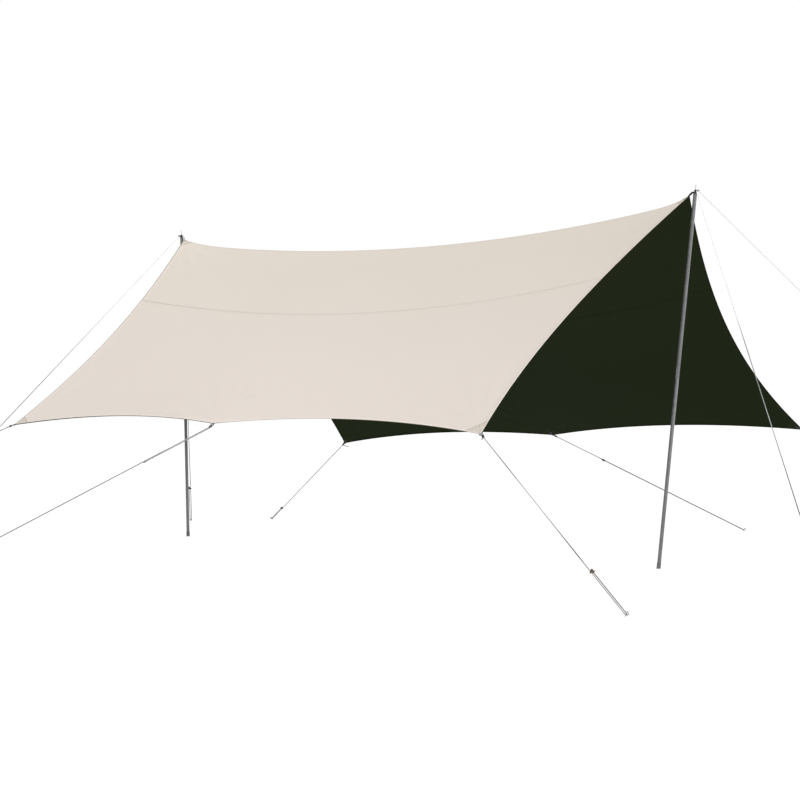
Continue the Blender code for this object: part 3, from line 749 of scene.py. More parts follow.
class ClothSide:
    """One side of the cloth: its surface, its lengths in metres and the rises and folds on it."""

    def __init__(self, side):
        self.sign = SIDES[side]
        self.net = relaxed_net(side)
        normal = np.cross(np.gradient(self.net, axis=0), np.gradient(self.net, axis=1)) * self.sign
        normal /= np.linalg.norm(normal, axis=2)[..., None]
        self.steepness = 1.0 / normal[..., 2:3]
        self.row_lengths = np.linalg.norm(np.diff(self.net, axis=0), axis=2).sum(axis=0)
        self.column_lengths = np.linalg.norm(np.diff(self.net, axis=1), axis=2).sum(axis=1)

    def sample(self, values, u, v):
        """Read a table of the net at shares u along and v down."""
        i = np.clip(u, 0, 1) * (self.net.shape[0] - 1)
        j = np.clip(v, 0, 1) * (self.net.shape[1] - 1)
        i0 = np.minimum(i.astype(int), self.net.shape[0] - 2)
        j0 = np.minimum(j.astype(int), self.net.shape[1] - 2)
        s, t = (i - i0)[..., None], (j - j0)[..., None]
        upper = values[i0, j0] * (1 - s) + values[i0 + 1, j0] * s
        lower = values[i0, j0 + 1] * (1 - s) + values[i0 + 1, j0 + 1] * s
        return upper * (1 - t) + lower * t

    def row_length(self, v):
        """Return the cloth's length along itself at a share down."""
        return np.interp(v, np.linspace(0, 1, len(self.row_lengths)), self.row_lengths)

    def column_length(self, u):
        """Return the cloth's depth along itself at a share along."""
        return np.interp(u, np.linspace(0, 1, len(self.column_lengths)), self.column_lengths)

    def flat_area(self):
        """Return the area of the net in square metres."""
        along, down = np.diff(self.net, axis=0)[:, :-1], np.diff(self.net, axis=1)[:-1]
        return np.linalg.norm(np.cross(along, down), axis=2).sum()

    def measures(self, u, v):
        """Return distances in metres: from each edge, ridge and seam, and the map's two coordinates."""
        row, column = self.row_length(v), self.column_length(u)
        end, lower, ridge = np.minimum(u, 1 - u) * row, (1 - v) * column, v * column
        return {
            "from_end": end,
            "from_lower": lower,
            "from_edge": np.minimum(end, lower),
            "from_ridge": ridge,
            "from_seam": (v - seam_share(u)) * column,
            "map_x": (u - 0.5) * row,
            "map_y": ridge * self.sign,
        }

    def folds(self, u, v):
        """Return the height of the pull folds that fan out of the corners, and of faint waves by the ridge."""
        row, column, at = self.row_length(v), self.column_length(u), self.measures(u, v)
        height = np.zeros_like(u)
        for corner_u, corner_v, size in FOLDS:
            x, y = (u - corner_u) * row, (v - corner_v) * column
            reach, angle = np.hypot(x, y), np.arctan2(np.abs(y), x)
            fan = np.sin(17 * angle + 1.3 * corner_u + 0.6 * self.sign + 0.8 * np.sin(3 * angle))
            height += size * fan * np.exp(-reach / 0.42) * smooth_step(0.06, 0.30, reach)
        down, along = at["from_ridge"], at["map_x"]
        waves = np.sin(math.tau * down / 0.11 + 1.9 * np.sin(1.4 * along + self.sign) + 0.7 * along)
        height += 0.0007 * waves * np.exp(-down / 0.55) * (0.6 + 0.4 * np.sin(1.1 * along + 2.0))
        return height * smooth_step(0.0, 0.07, at["from_edge"]) * smooth_step(0.0, 0.05, down)

    def rise(self, u, v):
        """Return how far hem, seam and ridge bands stand up from the single cloth."""
        at = self.measures(u, v)
        band = at["from_edge"] < HEM_WIDTH + BAND_EASE
        band |= np.abs(at["from_seam"]) < SEAM_HALF_WIDTH + BAND_EASE
        band |= at["from_ridge"] < RIDGE_HALF_WIDTH + BAND_EASE
        return band * BAND_RISE

    def drop(self, u, v):
        """Return how far the same bands and the edge's bead stand down from the inner face."""
        bead = self.measures(u, v)["from_edge"] < BEAD_WIDTH + BAND_EASE
        return np.maximum(bead * np.interp(u, BEAD_SHARES, BEAD_DEPTHS), self.rise(u, v))

    def points(self, u, v, offset):
        """Return points of the middle of the cloth, moved up by an offset measured square to it."""
        place = self.sample(self.net, u, v)
        steep = self.sample(self.steepness, u, v)[..., 0]
        place[..., 2] += (self.folds(u, v) + offset) * steep - CLOTH_DROP
        return place


def ladder(marks, cells):
    """Return (share, metres) stops with a number of cells between each two marks."""
    found = [marks[0]]
    for start, end, count in zip(marks, marks[1:], cells):
        found += [[a + (b - a) * k / count for a, b in zip(start, end)] for k in range(1, count + 1)]
    return np.array(found)


def cloth_grid(side):
    """Return the shares along and down at every vertex of one side's sheet."""
    hem = [(0, metres) for metres in (0, BEAD_WIDTH, BEAD_WIDTH + STEP_WIDTH, HEM_WIDTH, HEM_WIDTH + STEP_WIDTH)]
    far_hem = [(1, -metres) for _, metres in reversed(hem)]
    ridge = [(0, 0), (0, RIDGE_HALF_WIDTH), (0, RIDGE_HALF_WIDTH + STEP_WIDTH)]
    outer = SEAM_HALF_WIDTH + STEP_WIDTH
    seam = [(SEAM_SHARE, metres) for metres in (-outer, -SEAM_HALF_WIDTH, SEAM_HALF_WIDTH, outer)]
    columns = ladder(hem + far_hem, (1, 1, 1, 1, CELLS_ALONG, 1, 1, 1, 1))
    rows = ladder(ridge + seam + far_hem, (1, 1, CELLS_ABOVE_SEAM, 1, 1, 1, CELLS_BELOW_SEAM, 1, 1, 1, 1))
    v = np.broadcast_to(rows[:, 0], (len(columns), len(rows))).copy()
    for _ in range(2):
        u = columns[:, :1] + columns[:, 1:] / side.row_length(v)
        v = rows[None, :, 0] + rows[None, :, 1] / side.column_length(u)
    slide = np.interp(v, (0.0, 0.03, SEAM_SHARE - 0.01, SEAM_SHARE + 0.01, 0.97, 1.0), (0, 0, 1, 1, 0, 0))
    return u, v + slide * (seam_share(u) - SEAM_SHARE)


def add_canopy_cloth(sides, thickness, mats):
    """Add the whole cloth as one closed sheet, sand outside and dark inside, creased along its ridge."""
    halves = []
    for side in sides.values():
        u, v = cloth_grid(side)
        faces = {"outer": side.points(u, v, side.rise(u, v)), "inner": side.points(u, v, -thickness - side.drop(u, v))}
        halves.append({**faces, **side.measures(u, v)})
    front, back = halves
    joined = {key: np.concatenate((front[key][:, :0:-1], back[key]), axis=1) for key in front}
    for face in ("outer", "inner"):
        joined[face][:, front[face].shape[1] - 1] = (front[face][:, 0] + back[face][:, 0]) / 2
    bm, column, row = flat_grid(*joined["map_x"].shape)
    values = {key: table[column, row] for key, table in joined.items()}
    under, rim = shell(bm, values.pop("outer"), values.pop("inner"), values, "cloth", ("map_x", "map_y"))
    from_lower, map_x = (bm.verts.layers.float[key] for key in ("from_lower", "map_x"))
    for face in under + rim:
        face.material_index = 1
    for face in rim:
        on_right = min(vert[map_x] for vert in face.verts) > RIM_TURN
        if on_right and max(vert[from_lower] for vert in face.verts) < STEP_WIDTH:
            face.material_index = 2
    replaced = [f"{side}_{half}_cloth" for side in SIDES for half in ("upper", "lower")]
    return add_piece("canopy_cloth", bm, mats, replaced, smooth=28.0)


def add_patch(name, side, plan, outside, thickness, mat):
    """Add a cloth patch over a corner, on the outer or the inner face, cut straight across."""
    (corner_u, corner_v), (turn_u, turn_v), (leg_u, leg_v) = plan
    ways = 2 if corner_u == 0.5 else 1
    bm = bmesh.new()
    bmesh.ops.create_grid(
        bm, x_segments=round(leg_u / PATCH_CELL) * ways, y_segments=round(leg_v / PATCH_CELL), size=0.5
    )
    for vert in bm.verts:
        vert.co = ((vert.co.x + (0.0 if ways == 2 else 0.5)) * ways * leg_u, (vert.co.y + 0.5) * leg_v, 0.0)
    for slope in (1, -1)[:ways]:
        cut = Vector((slope / leg_u, 1 / leg_v, 0))
        bmesh.ops.bisect_plane(
            bm, geom=everything(bm), plane_co=(slope * leg_u, 0, 0), plane_no=cut, clear_outer=True, dist=1e-6
        )
    x, y = np.array([vert.co for vert in bm.verts]).T[:2]
    from_cut = (1 - np.abs(x) / leg_u - y / leg_v) / math.hypot(1 / leg_u, 1 / leg_v)
    u = np.full(len(x), float(corner_u))
    v = corner_v + turn_v * (y + PATCH_INSET * corner_v) / side.column_length(u)
    u += turn_u * (x + PATCH_INSET * (2 - ways)) / side.row_length(v)
    rise = side.rise(u, v) + PATCH_CLEARANCE
    lifts = (rise, rise + thickness) if outside else (-thickness - rise, -2 * thickness - rise)
    near, far = (side.points(u, v, lift) for lift in lifts)
    shell(bm, near, far, {"from_cut": from_cut, "flat_x": x, "flat_y": y}, "cloth", ("flat_x", "flat_y"))
    return add_piece(name, bm, [mat], [])


# Straps


def strap(name, points, ups, width, thickness, mats, replaced, sewn_until, round_end=0.0, sky_lit=(0, 0)):
    """Add a strap along points, its flat side square to each up direction.

    The first of mats, a grey of painted light for a sky-lit face, covers the upper face between the two points that
    the last argument counts, the second the rest.
    """
    runs, last = run_lengths(points), len(points) - 1
    plies, widths = np.broadcast_to(thickness, len(points)), np.broadcast_to(width, len(points))
    bm, column, row = flat_grid(len(points), STRAP_CELLS + 1)
    for face in bm.faces:
        face.material_index = int(not sky_lit[0] <= min(column[vert.index] for vert in face.verts) < sky_lit[1])
    besides = (row / STRAP_CELLS - 0.5) * widths[column]
    near, far = [], []
    for index, beside in zip(column, besides):
        along = (points[min(index + 1, last)] - points[max(index - 1, 0)]).normalized()
        up = (ups[index] - along * ups[index].dot(along)).normalized()
        place = points[index] + up.cross(along) * beside
        if round_end and index == last:
            place += along * (math.sqrt(max(0.0, 1 - (2 * beside / widths[index]) ** 2)) - 1) * round_end
        near.append(place + up * plies[index] / 2)
        far.append(place - up * plies[index] / 2)
    marks = {"run": runs[column], "beside": besides, "sewn": 1.0 * (runs[column] < sewn_until)}
    under, rim = shell(bm, near, far, marks, "strap", ("run", "beside"))
    for face in under + rim:
        face.material_index = 1
    return add_piece(name, bm, mats, replaced)


def corner_layout(name):
    """Return a low corner's tip, its ring's frame and apex, its peg's bight and the rope's frame."""
    tip = from_middle(*CORNERS[name]) - Vector((0, 0, 0.002))
    contact = from_middle(*CORNER_PEGS[name], BIGHT_HEIGHT)
    ring_axes = rope_frame(tip, contact)
    if name in RING_WAYS:
        along, across = Vector(RING_WAYS[name]).normalized(), Vector((1, 0, 0))
        ring_axes = along, across, along.cross(across)
    half_angle = math.atan(RING_HALF_WIDTH / (RING_APEX_OUT - RING_BAR_OUT))
    apex = tip + ring_axes[0] * (RING_APEX_OUT - RING_BEND / math.sin(half_angle) + RING_BEND)
    return tip, ring_axes, apex, contact, rope_frame(apex, contact)


def add_corner_strap(name, side, settings, mats):
    """Add a corner's webbing: two plies sewn under the cloth and a loop round the ring's bar."""
    tip, (along, across, up), *_ = corner_layout(name)
    where = name.split("_")[1]
    corner_u = CORNER_SHARE[where]
    inward = {"left": 1.0, "middle": 0.0, "right": -1.0}[where]
    reach = np.array((0.046, 0.036, 0.026, 0.016, 0.006))
    u = corner_u + inward * reach * 0.55 / side.row_length(1.0)
    v = 1 - reach * 0.85 / side.column_length(corner_u)
    under = side.points(u, v, -settings.thickness - BAND_RISE - PATCH_CLEARANCE)
    low_up = Vector((0, -side.sign * 0.5, -0.85)).normalized()
    ply = settings.strap_thickness
    bar = tip + along * RING_BAR_OUT
    turn = WIRE_RADIUS + ply / 2 + 0.0002
    first, second = (
        [Vector(point) + low_up * (settings.thickness + ply * lift) for point in under] for lift in STRAP_PLY_LIFTS
    )
    loop = arc(bar, along, up, turn, 140, -140, 14)
    upper = round_through([*first, tip + low_up * 0.001 + along * 0.002, *loop], 0.003)
    lower = round_through([tip + low_up * 0.0035 + along * 0.002, *reversed(second)], 0.004)
    ups = []
    for point in upper:
        around = point - bar
        around -= across * around.dot(across)
        ups.append(around.normalized() if around.length < turn * 1.3 else -low_up)
    ups += [low_up] * len(lower)
    outermost = max(range(len(upper)), key=lambda index: upper[index].dot(along))
    emerging = min(range(len(upper)), key=lambda index: (upper[index] - tip).length)
    # On the listed corners the upper face of the loop is painted light grey, as if lit by the sky.
    return strap(
        f"{name}_sewn_strap", [*upper, *lower], ups, settings.strap_width, ply, mats, [f"{name}_webbing_tab"],
        sewn_until=0.042, sky_lit=(emerging, outermost) if name in SKY_LIT_STRAPS else (0, 0),
    )


def add_peak_strap(end, settings, mats):
    """Add the strap from a peak of the cloth over the pole's cap, where its eye sits on the pin."""
    foot, axis, length = pole_axis(end)
    seat = foot + axis * (length + 0.0013)
    inward = 1.0 if end == "left" else -1.0
    along = Vector((0, 1, 0)).cross(axis) * inward
    tip = from_middle(PEAK_X[end], 0.0, PEAK_HEIGHT)
    bend = seat + along * PEAK_BEND_OUT
    ridge_dir = (from_middle(*ridge_point(0.02 if end == "left" else 0.98)) - tip).normalized()
    inside = [tip + ridge_dir * reach - Vector((0, 0, 0.006)) for reach in (0.050, 0.038, 0.026, 0.014)]
    rising = [tip + (bend - tip) * 0.1, tip + (bend - tip) * 0.5]
    level = [bend - along * 0.002, seat + along * 0.012, seat, seat - along * 0.012]
    points = round_through([*inside, *rising, *level], 0.003)
    fall = (bend - tip).normalized()
    fall_up = Vector((0, 1, 0)).cross(fall) * inward
    ups, plies, widths = [], [], []
    for point in points:
        over = (point - bend).dot(-along)
        share = smooth_step(-0.010, 0.006, over)
        ups.append((fall_up * (1 - share) + axis * share).normalized())
        doubled = smooth_step(0.0, 0.008, (point - tip).dot(fall)) * (1 - smooth_step(-0.007, 0.003, over))
        plies.append(0.0018 + 0.0034 * doubled)
        widths.append(settings.peak_strap_width + 0.005 * (1 - smooth_step(-0.002, 0.010, over)))
    # The left peak strap's whole upper face is painted light grey, as if lit by the sky.
    return strap(
        f"{end}_peak_webbing", points, ups, widths, plies, mats, [f"{end}_peak_strap"],
        sewn_until=0.045, round_end=0.009, sky_lit=(0, len(points)) if end == "left" else (0, 0),
    )


# Poles


def pole_axis(end):
    """Return a pole's foot on the ground, its direction and its length up to the cap's top."""
    foot_x, lean = POLES[end]
    length = POLE_LENGTHS[end]
    return from_middle(foot_x, 0.0), Vector((lean, 0.0, math.sqrt(length**2 - lean**2))).normalized(), length


def add_turned(name, profile, pole, mats, node, bevel=0.0, bands=(), grounded=False):
    """Add a part of a pole, turned from (radius, height) points; each band's height starts the next material."""
    foot, axis, _ = pole
    bm = lathe(profile)
    if bevel:
        soften(bm, bevel)
    for face in bm.faces:
        face.material_index = sum(face.calc_center_median().z > band for band in bands)
    turn = Vector((0, 0, 1)).rotation_difference(axis).to_matrix().to_4x4()
    bmesh.ops.transform(bm, matrix=Matrix.Translation(foot) @ turn, verts=bm.verts)
    if grounded:
        cut_at_ground(bm)
    add_piece(name, bm, mats, [node])


def add_pole(end, mats):
    """Add one pole: ribbed rubber foot, two tubes with a swaged joint and a crimp, and a cap with its pin."""
    pole = pole_axis(end)
    length = pole[2]
    cup = [(0.0, -0.005), (FOOT_RADIUS - 0.0012, -0.005), (FOOT_RADIUS, 0.002)]
    for low in (0.008 + index * 0.0055 for index in range(FOOT_RIBS)):
        cup += [(FOOT_RADIUS, low), (FOOT_RADIUS - 0.0007, low + 0.0012), (FOOT_RADIUS, low + 0.0024)]
    cup += [(FOOT_RADIUS, FOOT_HEIGHT - 0.001), (FOOT_RADIUS - 0.0006, FOOT_HEIGHT)]
    cup += [(TUBE_RADIUS + 0.0002, FOOT_HEIGHT), (TUBE_RADIUS + 0.0002, 0.009), (0.0, 0.009)]
    add_turned(
        f"{end}_pole_ribbed_foot", cup, pole, [mats["rubber"]], f"{end}_pole_foot", grounded=True
    )

    wall_in = TUBE_RADIUS - TUBE_WALL
    lower = [(TUBE_RADIUS, 0.0095), (TUBE_RADIUS, JOINT_HEIGHT), (wall_in, JOINT_HEIGHT), (wall_in, 0.0095)]
    add_turned(
        f"{end}_pole_lower_section", lower, pole, [mats["pole"]], f"{end}_pole_lower_tube", bevel=0.0003
    )

    shoulder, spigot_foot = JOINT_HEIGHT + 0.0005, JOINT_HEIGHT - SPIGOT_LENGTH
    tip = length - CAP_HEIGHT - 0.0002
    upper = [(SPIGOT_RADIUS, spigot_foot), (SPIGOT_RADIUS, shoulder), (TUBE_RADIUS - 0.0003, shoulder)]
    upper.append((TUBE_RADIUS, shoulder + 0.0008))
    for share in (step / 8 for step in range(9)):
        upper.append((TUBE_RADIUS - 0.0007 * math.sin(math.pi * share), CRIMP_HEIGHT + 0.003 * (share - 0.5)))
    upper += [(TUBE_RADIUS, tip), (wall_in, tip), (wall_in, shoulder + 0.002)]
    upper += [(SPIGOT_RADIUS - TUBE_WALL, shoulder + 0.002), (SPIGOT_RADIUS - TUBE_WALL, spigot_foot)]
    add_turned(f"{end}_pole_upper_section", upper, pole, [mats["pole"]], f"{end}_pole_upper_tube")

    seat, plug_in = length - CAP_HEIGHT, wall_in - 0.0002
    cap = [(0.0, seat - CAP_PLUG), (plug_in, seat - CAP_PLUG), (plug_in, seat), (CAP_RADIUS - 0.0006, seat)]
    cap += [(CAP_RADIUS, seat + 0.0006), (CAP_RADIUS, seat + CAP_COLLAR), (CAP_RADIUS, length - 0.0015)]
    cap += [(CAP_RADIUS - 0.0015, length), (PIN_RADIUS + 0.0008, length), (PIN_RADIUS, length + 0.0008)]
    cap += [(PIN_RADIUS, PIN_TOP - 0.003), (PIN_RADIUS * 0.85, PIN_TOP - 0.0012), (PIN_RADIUS * 0.5, PIN_TOP - 0.0003)]
    add_turned(
        f"{end}_pole_top_pin", [*cap, (0.0, PIN_TOP)], pole, [mats["cap"], mats["bush"], mats["pin"]],
        f"{end}_pole_cap_pin", bands=(seat + CAP_COLLAR, length + 0.0001),
    )


# Rings, ropes, sliders and pegs


def add_corner_ring(name, mat):
    """Add the three-cornered wire ring of a corner."""
    tip, (along, across, _), *_ = corner_layout(name)
    bar = tip + along * RING_BAR_OUT
    corners = [bar - across * RING_HALF_WIDTH, bar + across * RING_HALF_WIDTH, tip + along * RING_APEX_OUT]
    points = []
    for index, corner in enumerate(corners):
        before = (corners[index - 1] - corner).normalized()
        after = (corners[(index + 1) % 3] - corner).normalized()
        half = before.angle(after) / 2
        centre = corner + (before + after).normalized() * RING_BEND / math.sin(half)
        first, last = (corner + leg * RING_BEND / math.tan(half) - centre for leg in (before, after))
        points += [centre + first.slerp(last, step / 10).normalized() * RING_BEND for step in range(11)]
    bm = sweep(points, WIRE_RADIUS, sides=16, cyclic=True)
    add_piece(f"{name}_wire_ring", bm, [mat], [f"{name}_ring"])


def wraps(start, axis, side, rope_radius, turns):
    """Return the points of rope wrapped round its own standing part, from a start along an axis."""
    other = axis.cross(side)
    radius, pitch = 2 * rope_radius + WRAP_GAP, 2 * rope_radius + PITCH_GAP
    points = []
    for step in range(round(turns * 12) + 1):
        angle = math.tau * step / 12
        points.append(start + axis * (pitch * step / 12) + radius * (math.cos(angle) * side + math.sin(angle) * other))
    return points, start + axis * pitch * turns


def knotted_eye(centre, out, sideways, radius, knot_start, knot_axis, rope_radius, tail_way, turns, tail_run=0.0):
    """Return a rope's tail, and its knot from the wraps round the eye and the throat to its first plain point."""
    side = (sideways - knot_axis * sideways.dot(knot_axis)).normalized()
    coil, plain = wraps(knot_start, knot_axis, side, rope_radius, turns)
    end = coil[-1]
    outward = (end - plain).normalized()
    if tail_run:
        tail = [end + outward * 0.0004 + knot_axis * (0.004 + tail_run * share) for share in np.linspace(1.0, 0.0, 12)]
    else:
        tail = [end + outward * 0.005 + tail_way * share + knot_axis * 0.005 for share in (1.0, 0.65, 0.3)]
        tail.append(end + outward * 0.002 + tail_way * 0.08 + knot_axis * 0.003)
    loop = arc(centre, out, sideways, radius, 60, 300, 14)
    throat = centre + out * radius * 1.5 - sideways * radius * 0.2
    knot = round_through([*reversed(coil), *loop, throat, knot_start], CURVE_STEP)
    return round_through(tail, CURVE_STEP)[:-1], [*knot, plain]


def rope_tail(contact, frame_axes, slider, offset, rope_radius):
    """Return a rope's lower stretch: through the slider, round the peg and back to a wrapped stopper knot."""
    along, across, up = frame_axes
    back = slider + across * offset
    points = [slider - along * 0.020 - across * offset, slider + along * 0.010 - across * offset]
    points += arc(contact, -across, along, offset, 0, 180, 16)
    points += [back + along * 0.010, back - along * 0.004]
    core_end = back - along * 0.018
    coil, _ = wraps(core_end + along * 0.001, along, across, rope_radius, 3)
    stub = [coil[-1] + across * 0.003 + up * 0.003, coil[-1] + across * 0.008 + up * 0.004 - along * 0.002]
    core = [back - along * 0.006, core_end, core_end - along * 0.003 + across * 0.002]
    return [*points, *round_through([*core, *coil, *stub], CURVE_STEP)]


def add_slider(name, slider, frame_axes, offset, rope_radius, mat):
    """Add the flat slider whose two holes hold both strands of a rope."""
    along, across, up = frame_axes
    width, height, thickness = SLIDER_SIZE
    round_off = height * 0.3
    bm = bmesh.new()
    outline = []
    for turn, (right, top) in enumerate(((1, 1), (-1, 1), (-1, -1), (1, -1))):
        centre = Vector((right * (width / 2 - round_off), top * (height / 2 - round_off), 0.0))
        corner = arc(centre, Vector((1, 0, 0)), Vector((0, 1, 0)), round_off, 90 * turn, 90 * turn + 90, 6)
        outline += [bm.verts.new(point) for point in corner]
    for index, vert in enumerate(outline):
        bm.edges.new((vert, outline[(index + 1) % len(outline)]))
    for hole in (-offset, 0.0, offset):
        radius = rope_radius + CLEAR if hole else 0.0012
        bmesh.ops.create_circle(bm, segments=24, radius=radius, matrix=Matrix.Translation((hole, 0.0, 0.0)))
    bmesh.ops.triangle_fill(bm, edges=bm.edges[:], use_beauty=True, use_dissolve=False)
    grown = bmesh.ops.extrude_face_region(bm, geom=bm.faces[:], use_keep_orig=True)
    bmesh.ops.translate(bm, vec=(0, 0, thickness), verts=of_kind(grown["geom"], bmesh.types.BMVert))
    close_up(bm)
    soften(bm, 0.0005)
    place = Matrix((across, up, along)).transposed().to_4x4()
    place.translation = slider - along * (thickness / 2)
    bmesh.ops.transform(bm, matrix=place, verts=bm.verts)
    add_piece(f"{name}_slider_plate", bm, [mat], [f"{name}_rope_slider"])


def add_peg(name, contact, frame_axes, mat):
    """Add a peg's hook and the shank above the ground, leaning back square to its rope."""
    along, _, up = frame_axes
    hook_centre = contact + up * PEG_SHANK_ABOVE + along * PEG_HOOK_RADIUS
    points = [contact + up * (-contact.z / up.z - 0.010), contact + up * 0.002]
    points += arc(hook_centre, -along, up, PEG_HOOK_RADIUS, 0, 190, 16)
    points.append(points[-1] - up * 0.004 - along * 0.0006)
    bm = sweep(points, PEG_RADIUS, sides=16)
    cut_at_ground(bm)
    add_piece(f"{name}_peg_hook", bm, [mat], [f"{name}_peg"])


def add_stay(name, upper, start, contact, frame_axes, share, tones, settings, mats):
    """Add one stay: its rope with knots, its slider and its peg; tones give the painted shade of its tail and knot."""
    radius = settings.radius
    offset = PEG_RADIUS + radius + TURN_EASE
    slider = start + frame_axes[0] * ((contact - start).length * share)
    tail, knot = upper
    plain = rope_tail(contact, frame_axes, slider, offset, radius)
    stretch = [knot[-1] + (plain[0] - knot[-1]) * part for part in np.linspace(0.0, 1.0, 24)[1:-1]]
    points = [*tail, *knot, *stretch, *plain]
    reach = (contact - start).length
    # Painted shade on the tail and knot, and painted sheen on the paler stretches along the rope.
    marks = {
        "knot_shade": [tones[0]] * len(tail) + tones[1] + [0.0] * (len(stretch) + len(plain)),
        "painted_sheen": [float(np.interp((point - start).length / reach, *zip(*ROPE_SHEEN[name]))) for point in points],
    }
    bm = sweep(points, radius, marks=marks)
    add_piece(f"{name}_braided_rope", bm, [mats["rope"]], [f"{name}_guy_rope"], smooth=60.0)
    add_slider(name, slider, frame_axes, offset, radius, mats["slider"])
    add_peg(name, contact, frame_axes, mats["peg"])


def add_corner_stay(name, settings, mats):
    """Add the stay of a low corner, with its eye on the ring's apex."""
    tip, _, apex, contact, axes = corner_layout(name)
    along, _, up = axes
    start = apex - along * (apex - tip).length
    radius = WIRE_RADIUS + settings.radius + CLEAR
    tail_way, tail_tone = TAILS[name]
    tail_run = LONG_TAILS.get(name, 0.0)
    turns = LONG_TAIL_TURNS if tail_run else KNOT_TURNS
    upper = knotted_eye(
        apex, along, up, radius, apex + along * KNOT_OUT, along, settings.radius, Vector(tail_way), turns, tail_run
    )
    tones = (tail_tone, [1.0] * (len(upper[1]) - 1) + [0.0])
    share = SLIDER_SHARES.get(name, SLIDER_SHARE)
    add_stay(name, upper, start, contact, axes, share, tones, settings, mats)


def add_pole_stay(end, side, settings, mats):
    """Add one of a pole's two stays, with its eye on the pin over the strap."""
    foot, axis, length = pole_axis(end)
    contact = from_middle(*POLE_PEGS[(end, side)], BIGHT_HEIGHT)
    layer = 0 if side == "front" else 1
    height = 0.0038 + settings.radius + layer * (2 * settings.radius + CLEAR)
    centre = foot + axis * (length + height)
    away = contact - centre
    out = (away - axis * away.dot(axis)).normalized()
    start = centre + out * EYE_END
    axes = rope_frame(start, contact)
    radius = PIN_RADIUS + settings.radius + CLEAR
    tail_way, tail_tone = TAILS[f"{end}_pole"]
    knot_start = start - axes[0] * PIN_KNOT_BACK
    upper = knotted_eye(
        centre, out, axis.cross(out), radius, knot_start, axes[0], settings.radius, Vector(tail_way), KNOT_TURNS
    )
    tones = [float((point - centre).length < KNOT_SHADE_REACH[end]) for point in upper[1]]
    tones = (tail_tone, [*tones[:-1], 0.0])
    add_stay(f"{end}_pole_{side}", upper, start, contact, axes, POLE_SLIDER_SHARE, tones, settings, mats)


# Settings, operators and panel


def colour_prop(name, default, description):
    """Return a colour property."""
    return bpy.props.FloatVectorProperty(
        name=name, subtype="COLOR", size=3, min=0.0, max=1.0, default=default, description=description
    )


def number_prop(name, default, description, **more):
    """Return a number property; more holds its unit and limits."""
    return bpy.props.FloatProperty(name=name, default=default, description=description, **more)


def length_prop(name, default, description):
    """Return a length property."""
    return number_prop(name, default, description, min=0.0, unit="LENGTH", precision=4)


class CanopyClothSettings(bpy.types.PropertyGroup):
    """Colours and thickness of the cloth and its straps."""

    outer: colour_prop("Outer colour", (0.663, 0.600, 0.534), "Sand colour of the canvas outside")
    outer_second: colour_prop(
        "Outer second tone", (0.698, 0.631, 0.578), "Paler, pinker tone that the canvas drifts to"
    )
    rim: colour_prop("Rim colour", (0.36, 0.33, 0.29), "Shaded underside of the rolled lower edge")
    patch: colour_prop("Patch colour", (0.618, 0.562, 0.494), "Yellower double canvas of the outer patches")
    outer_thread: colour_prop("Outer thread", (0.44, 0.40, 0.35), "Thread of the seams outside")
    inner: colour_prop("Inner colour", (0.0122, 0.0178, 0.0049), "Dark green coating inside")
    # Painted shade: the darker tone of the coating towards the lower edge.
    inner_lower_shade: colour_prop("Inner second tone", (0.0082, 0.0138, 0.0029), "Second tone of the coating")
    inner_thread: colour_prop("Inner thread", (0.010, 0.014, 0.0045), "Thread of the seams inside")
    thickness: length_prop("Thickness", 0.0010, "Thickness of the single canvas")
    strap_dark: colour_prop("Strap colour", (0.020, 0.021, 0.020), "Black webbing")
    # Painted light: the grey that stands in for the sky lighting the upper face of the black webbing.
    strap_sky_lit: colour_prop("Pale strap colour", (0.36, 0.365, 0.37), "Grey outer face of the webbing")
    strap_thread: colour_prop("Strap thread", (0.10, 0.10, 0.10), "Thread that sews the webbing down")
    strap_width: length_prop("Strap width", 0.021, "Width of the corner webbing")
    strap_thickness: length_prop("Strap thickness", 0.0014, "Thickness of one ply of the corner webbing")
    peak_strap_width: length_prop("Peak strap width", 0.015, "Width of the straps over the pole caps")


class CanopyPoleSettings(bpy.types.PropertyGroup):
    """Finishes of the poles."""

    tube: colour_prop("Tube colour", (0.165, 0.166, 0.170), "Grey coated steel tube")
    tube_worn: colour_prop("Worn tube colour", (0.235, 0.235, 0.235), "Where the coating has rubbed")
    cap: colour_prop("Cap colour", (0.160, 0.161, 0.165), "Grey steel cap")
    bush: colour_prop("Bush colour", (0.020, 0.021, 0.023), "Black bush round the pin")
    pin: colour_prop("Pin colour", (0.60, 0.60, 0.61), "Bright top pin")
    rubber: colour_prop("Foot colour", (0.125, 0.126, 0.128), "Grey rubber foot")
    rubber_worn: colour_prop("Worn foot colour", (0.15, 0.15, 0.148), "Where the rubber has dulled")


class CanopyRopeSettings(bpy.types.PropertyGroup):
    """Sizes and finishes of the ropes, rings, sliders and pegs."""

    radius: length_prop("Rope radius", 0.0025, "Half the thickness of the braided rope")
    rope: colour_prop("Rope colour", (0.045, 0.046, 0.045), "Dark braid")
    # Painted sheen: the pale colour of the ropes' lit stretches.
    rope_sheen: colour_prop("Bleached rope colour", (0.80, 0.80, 0.79), "Where the sun has bleached it")
    # Painted shade of the knots and their tails.
    rope_knot_shade: colour_prop("Knot colour", (0.020, 0.021, 0.020), "Dark whipping of the knots")
    slider: colour_prop("Slider colour", (0.050, 0.024, 0.014), "Red-brown slider plate")
    slider_worn: colour_prop("Worn slider colour", (0.240, 0.140, 0.060), "Where the slider's edges have paled")
    ring: colour_prop("Ring colour", (0.10, 0.105, 0.10), "Dark plated wire ring")
    ring_worn: colour_prop("Worn ring colour", (0.24, 0.25, 0.24), "Where the plating has rubbed")
    peg: colour_prop("Peg colour", (0.42, 0.42, 0.425), "Galvanised peg")
    peg_worn: colour_prop("Worn peg colour", (0.58, 0.58, 0.57), "Where the peg is bright")


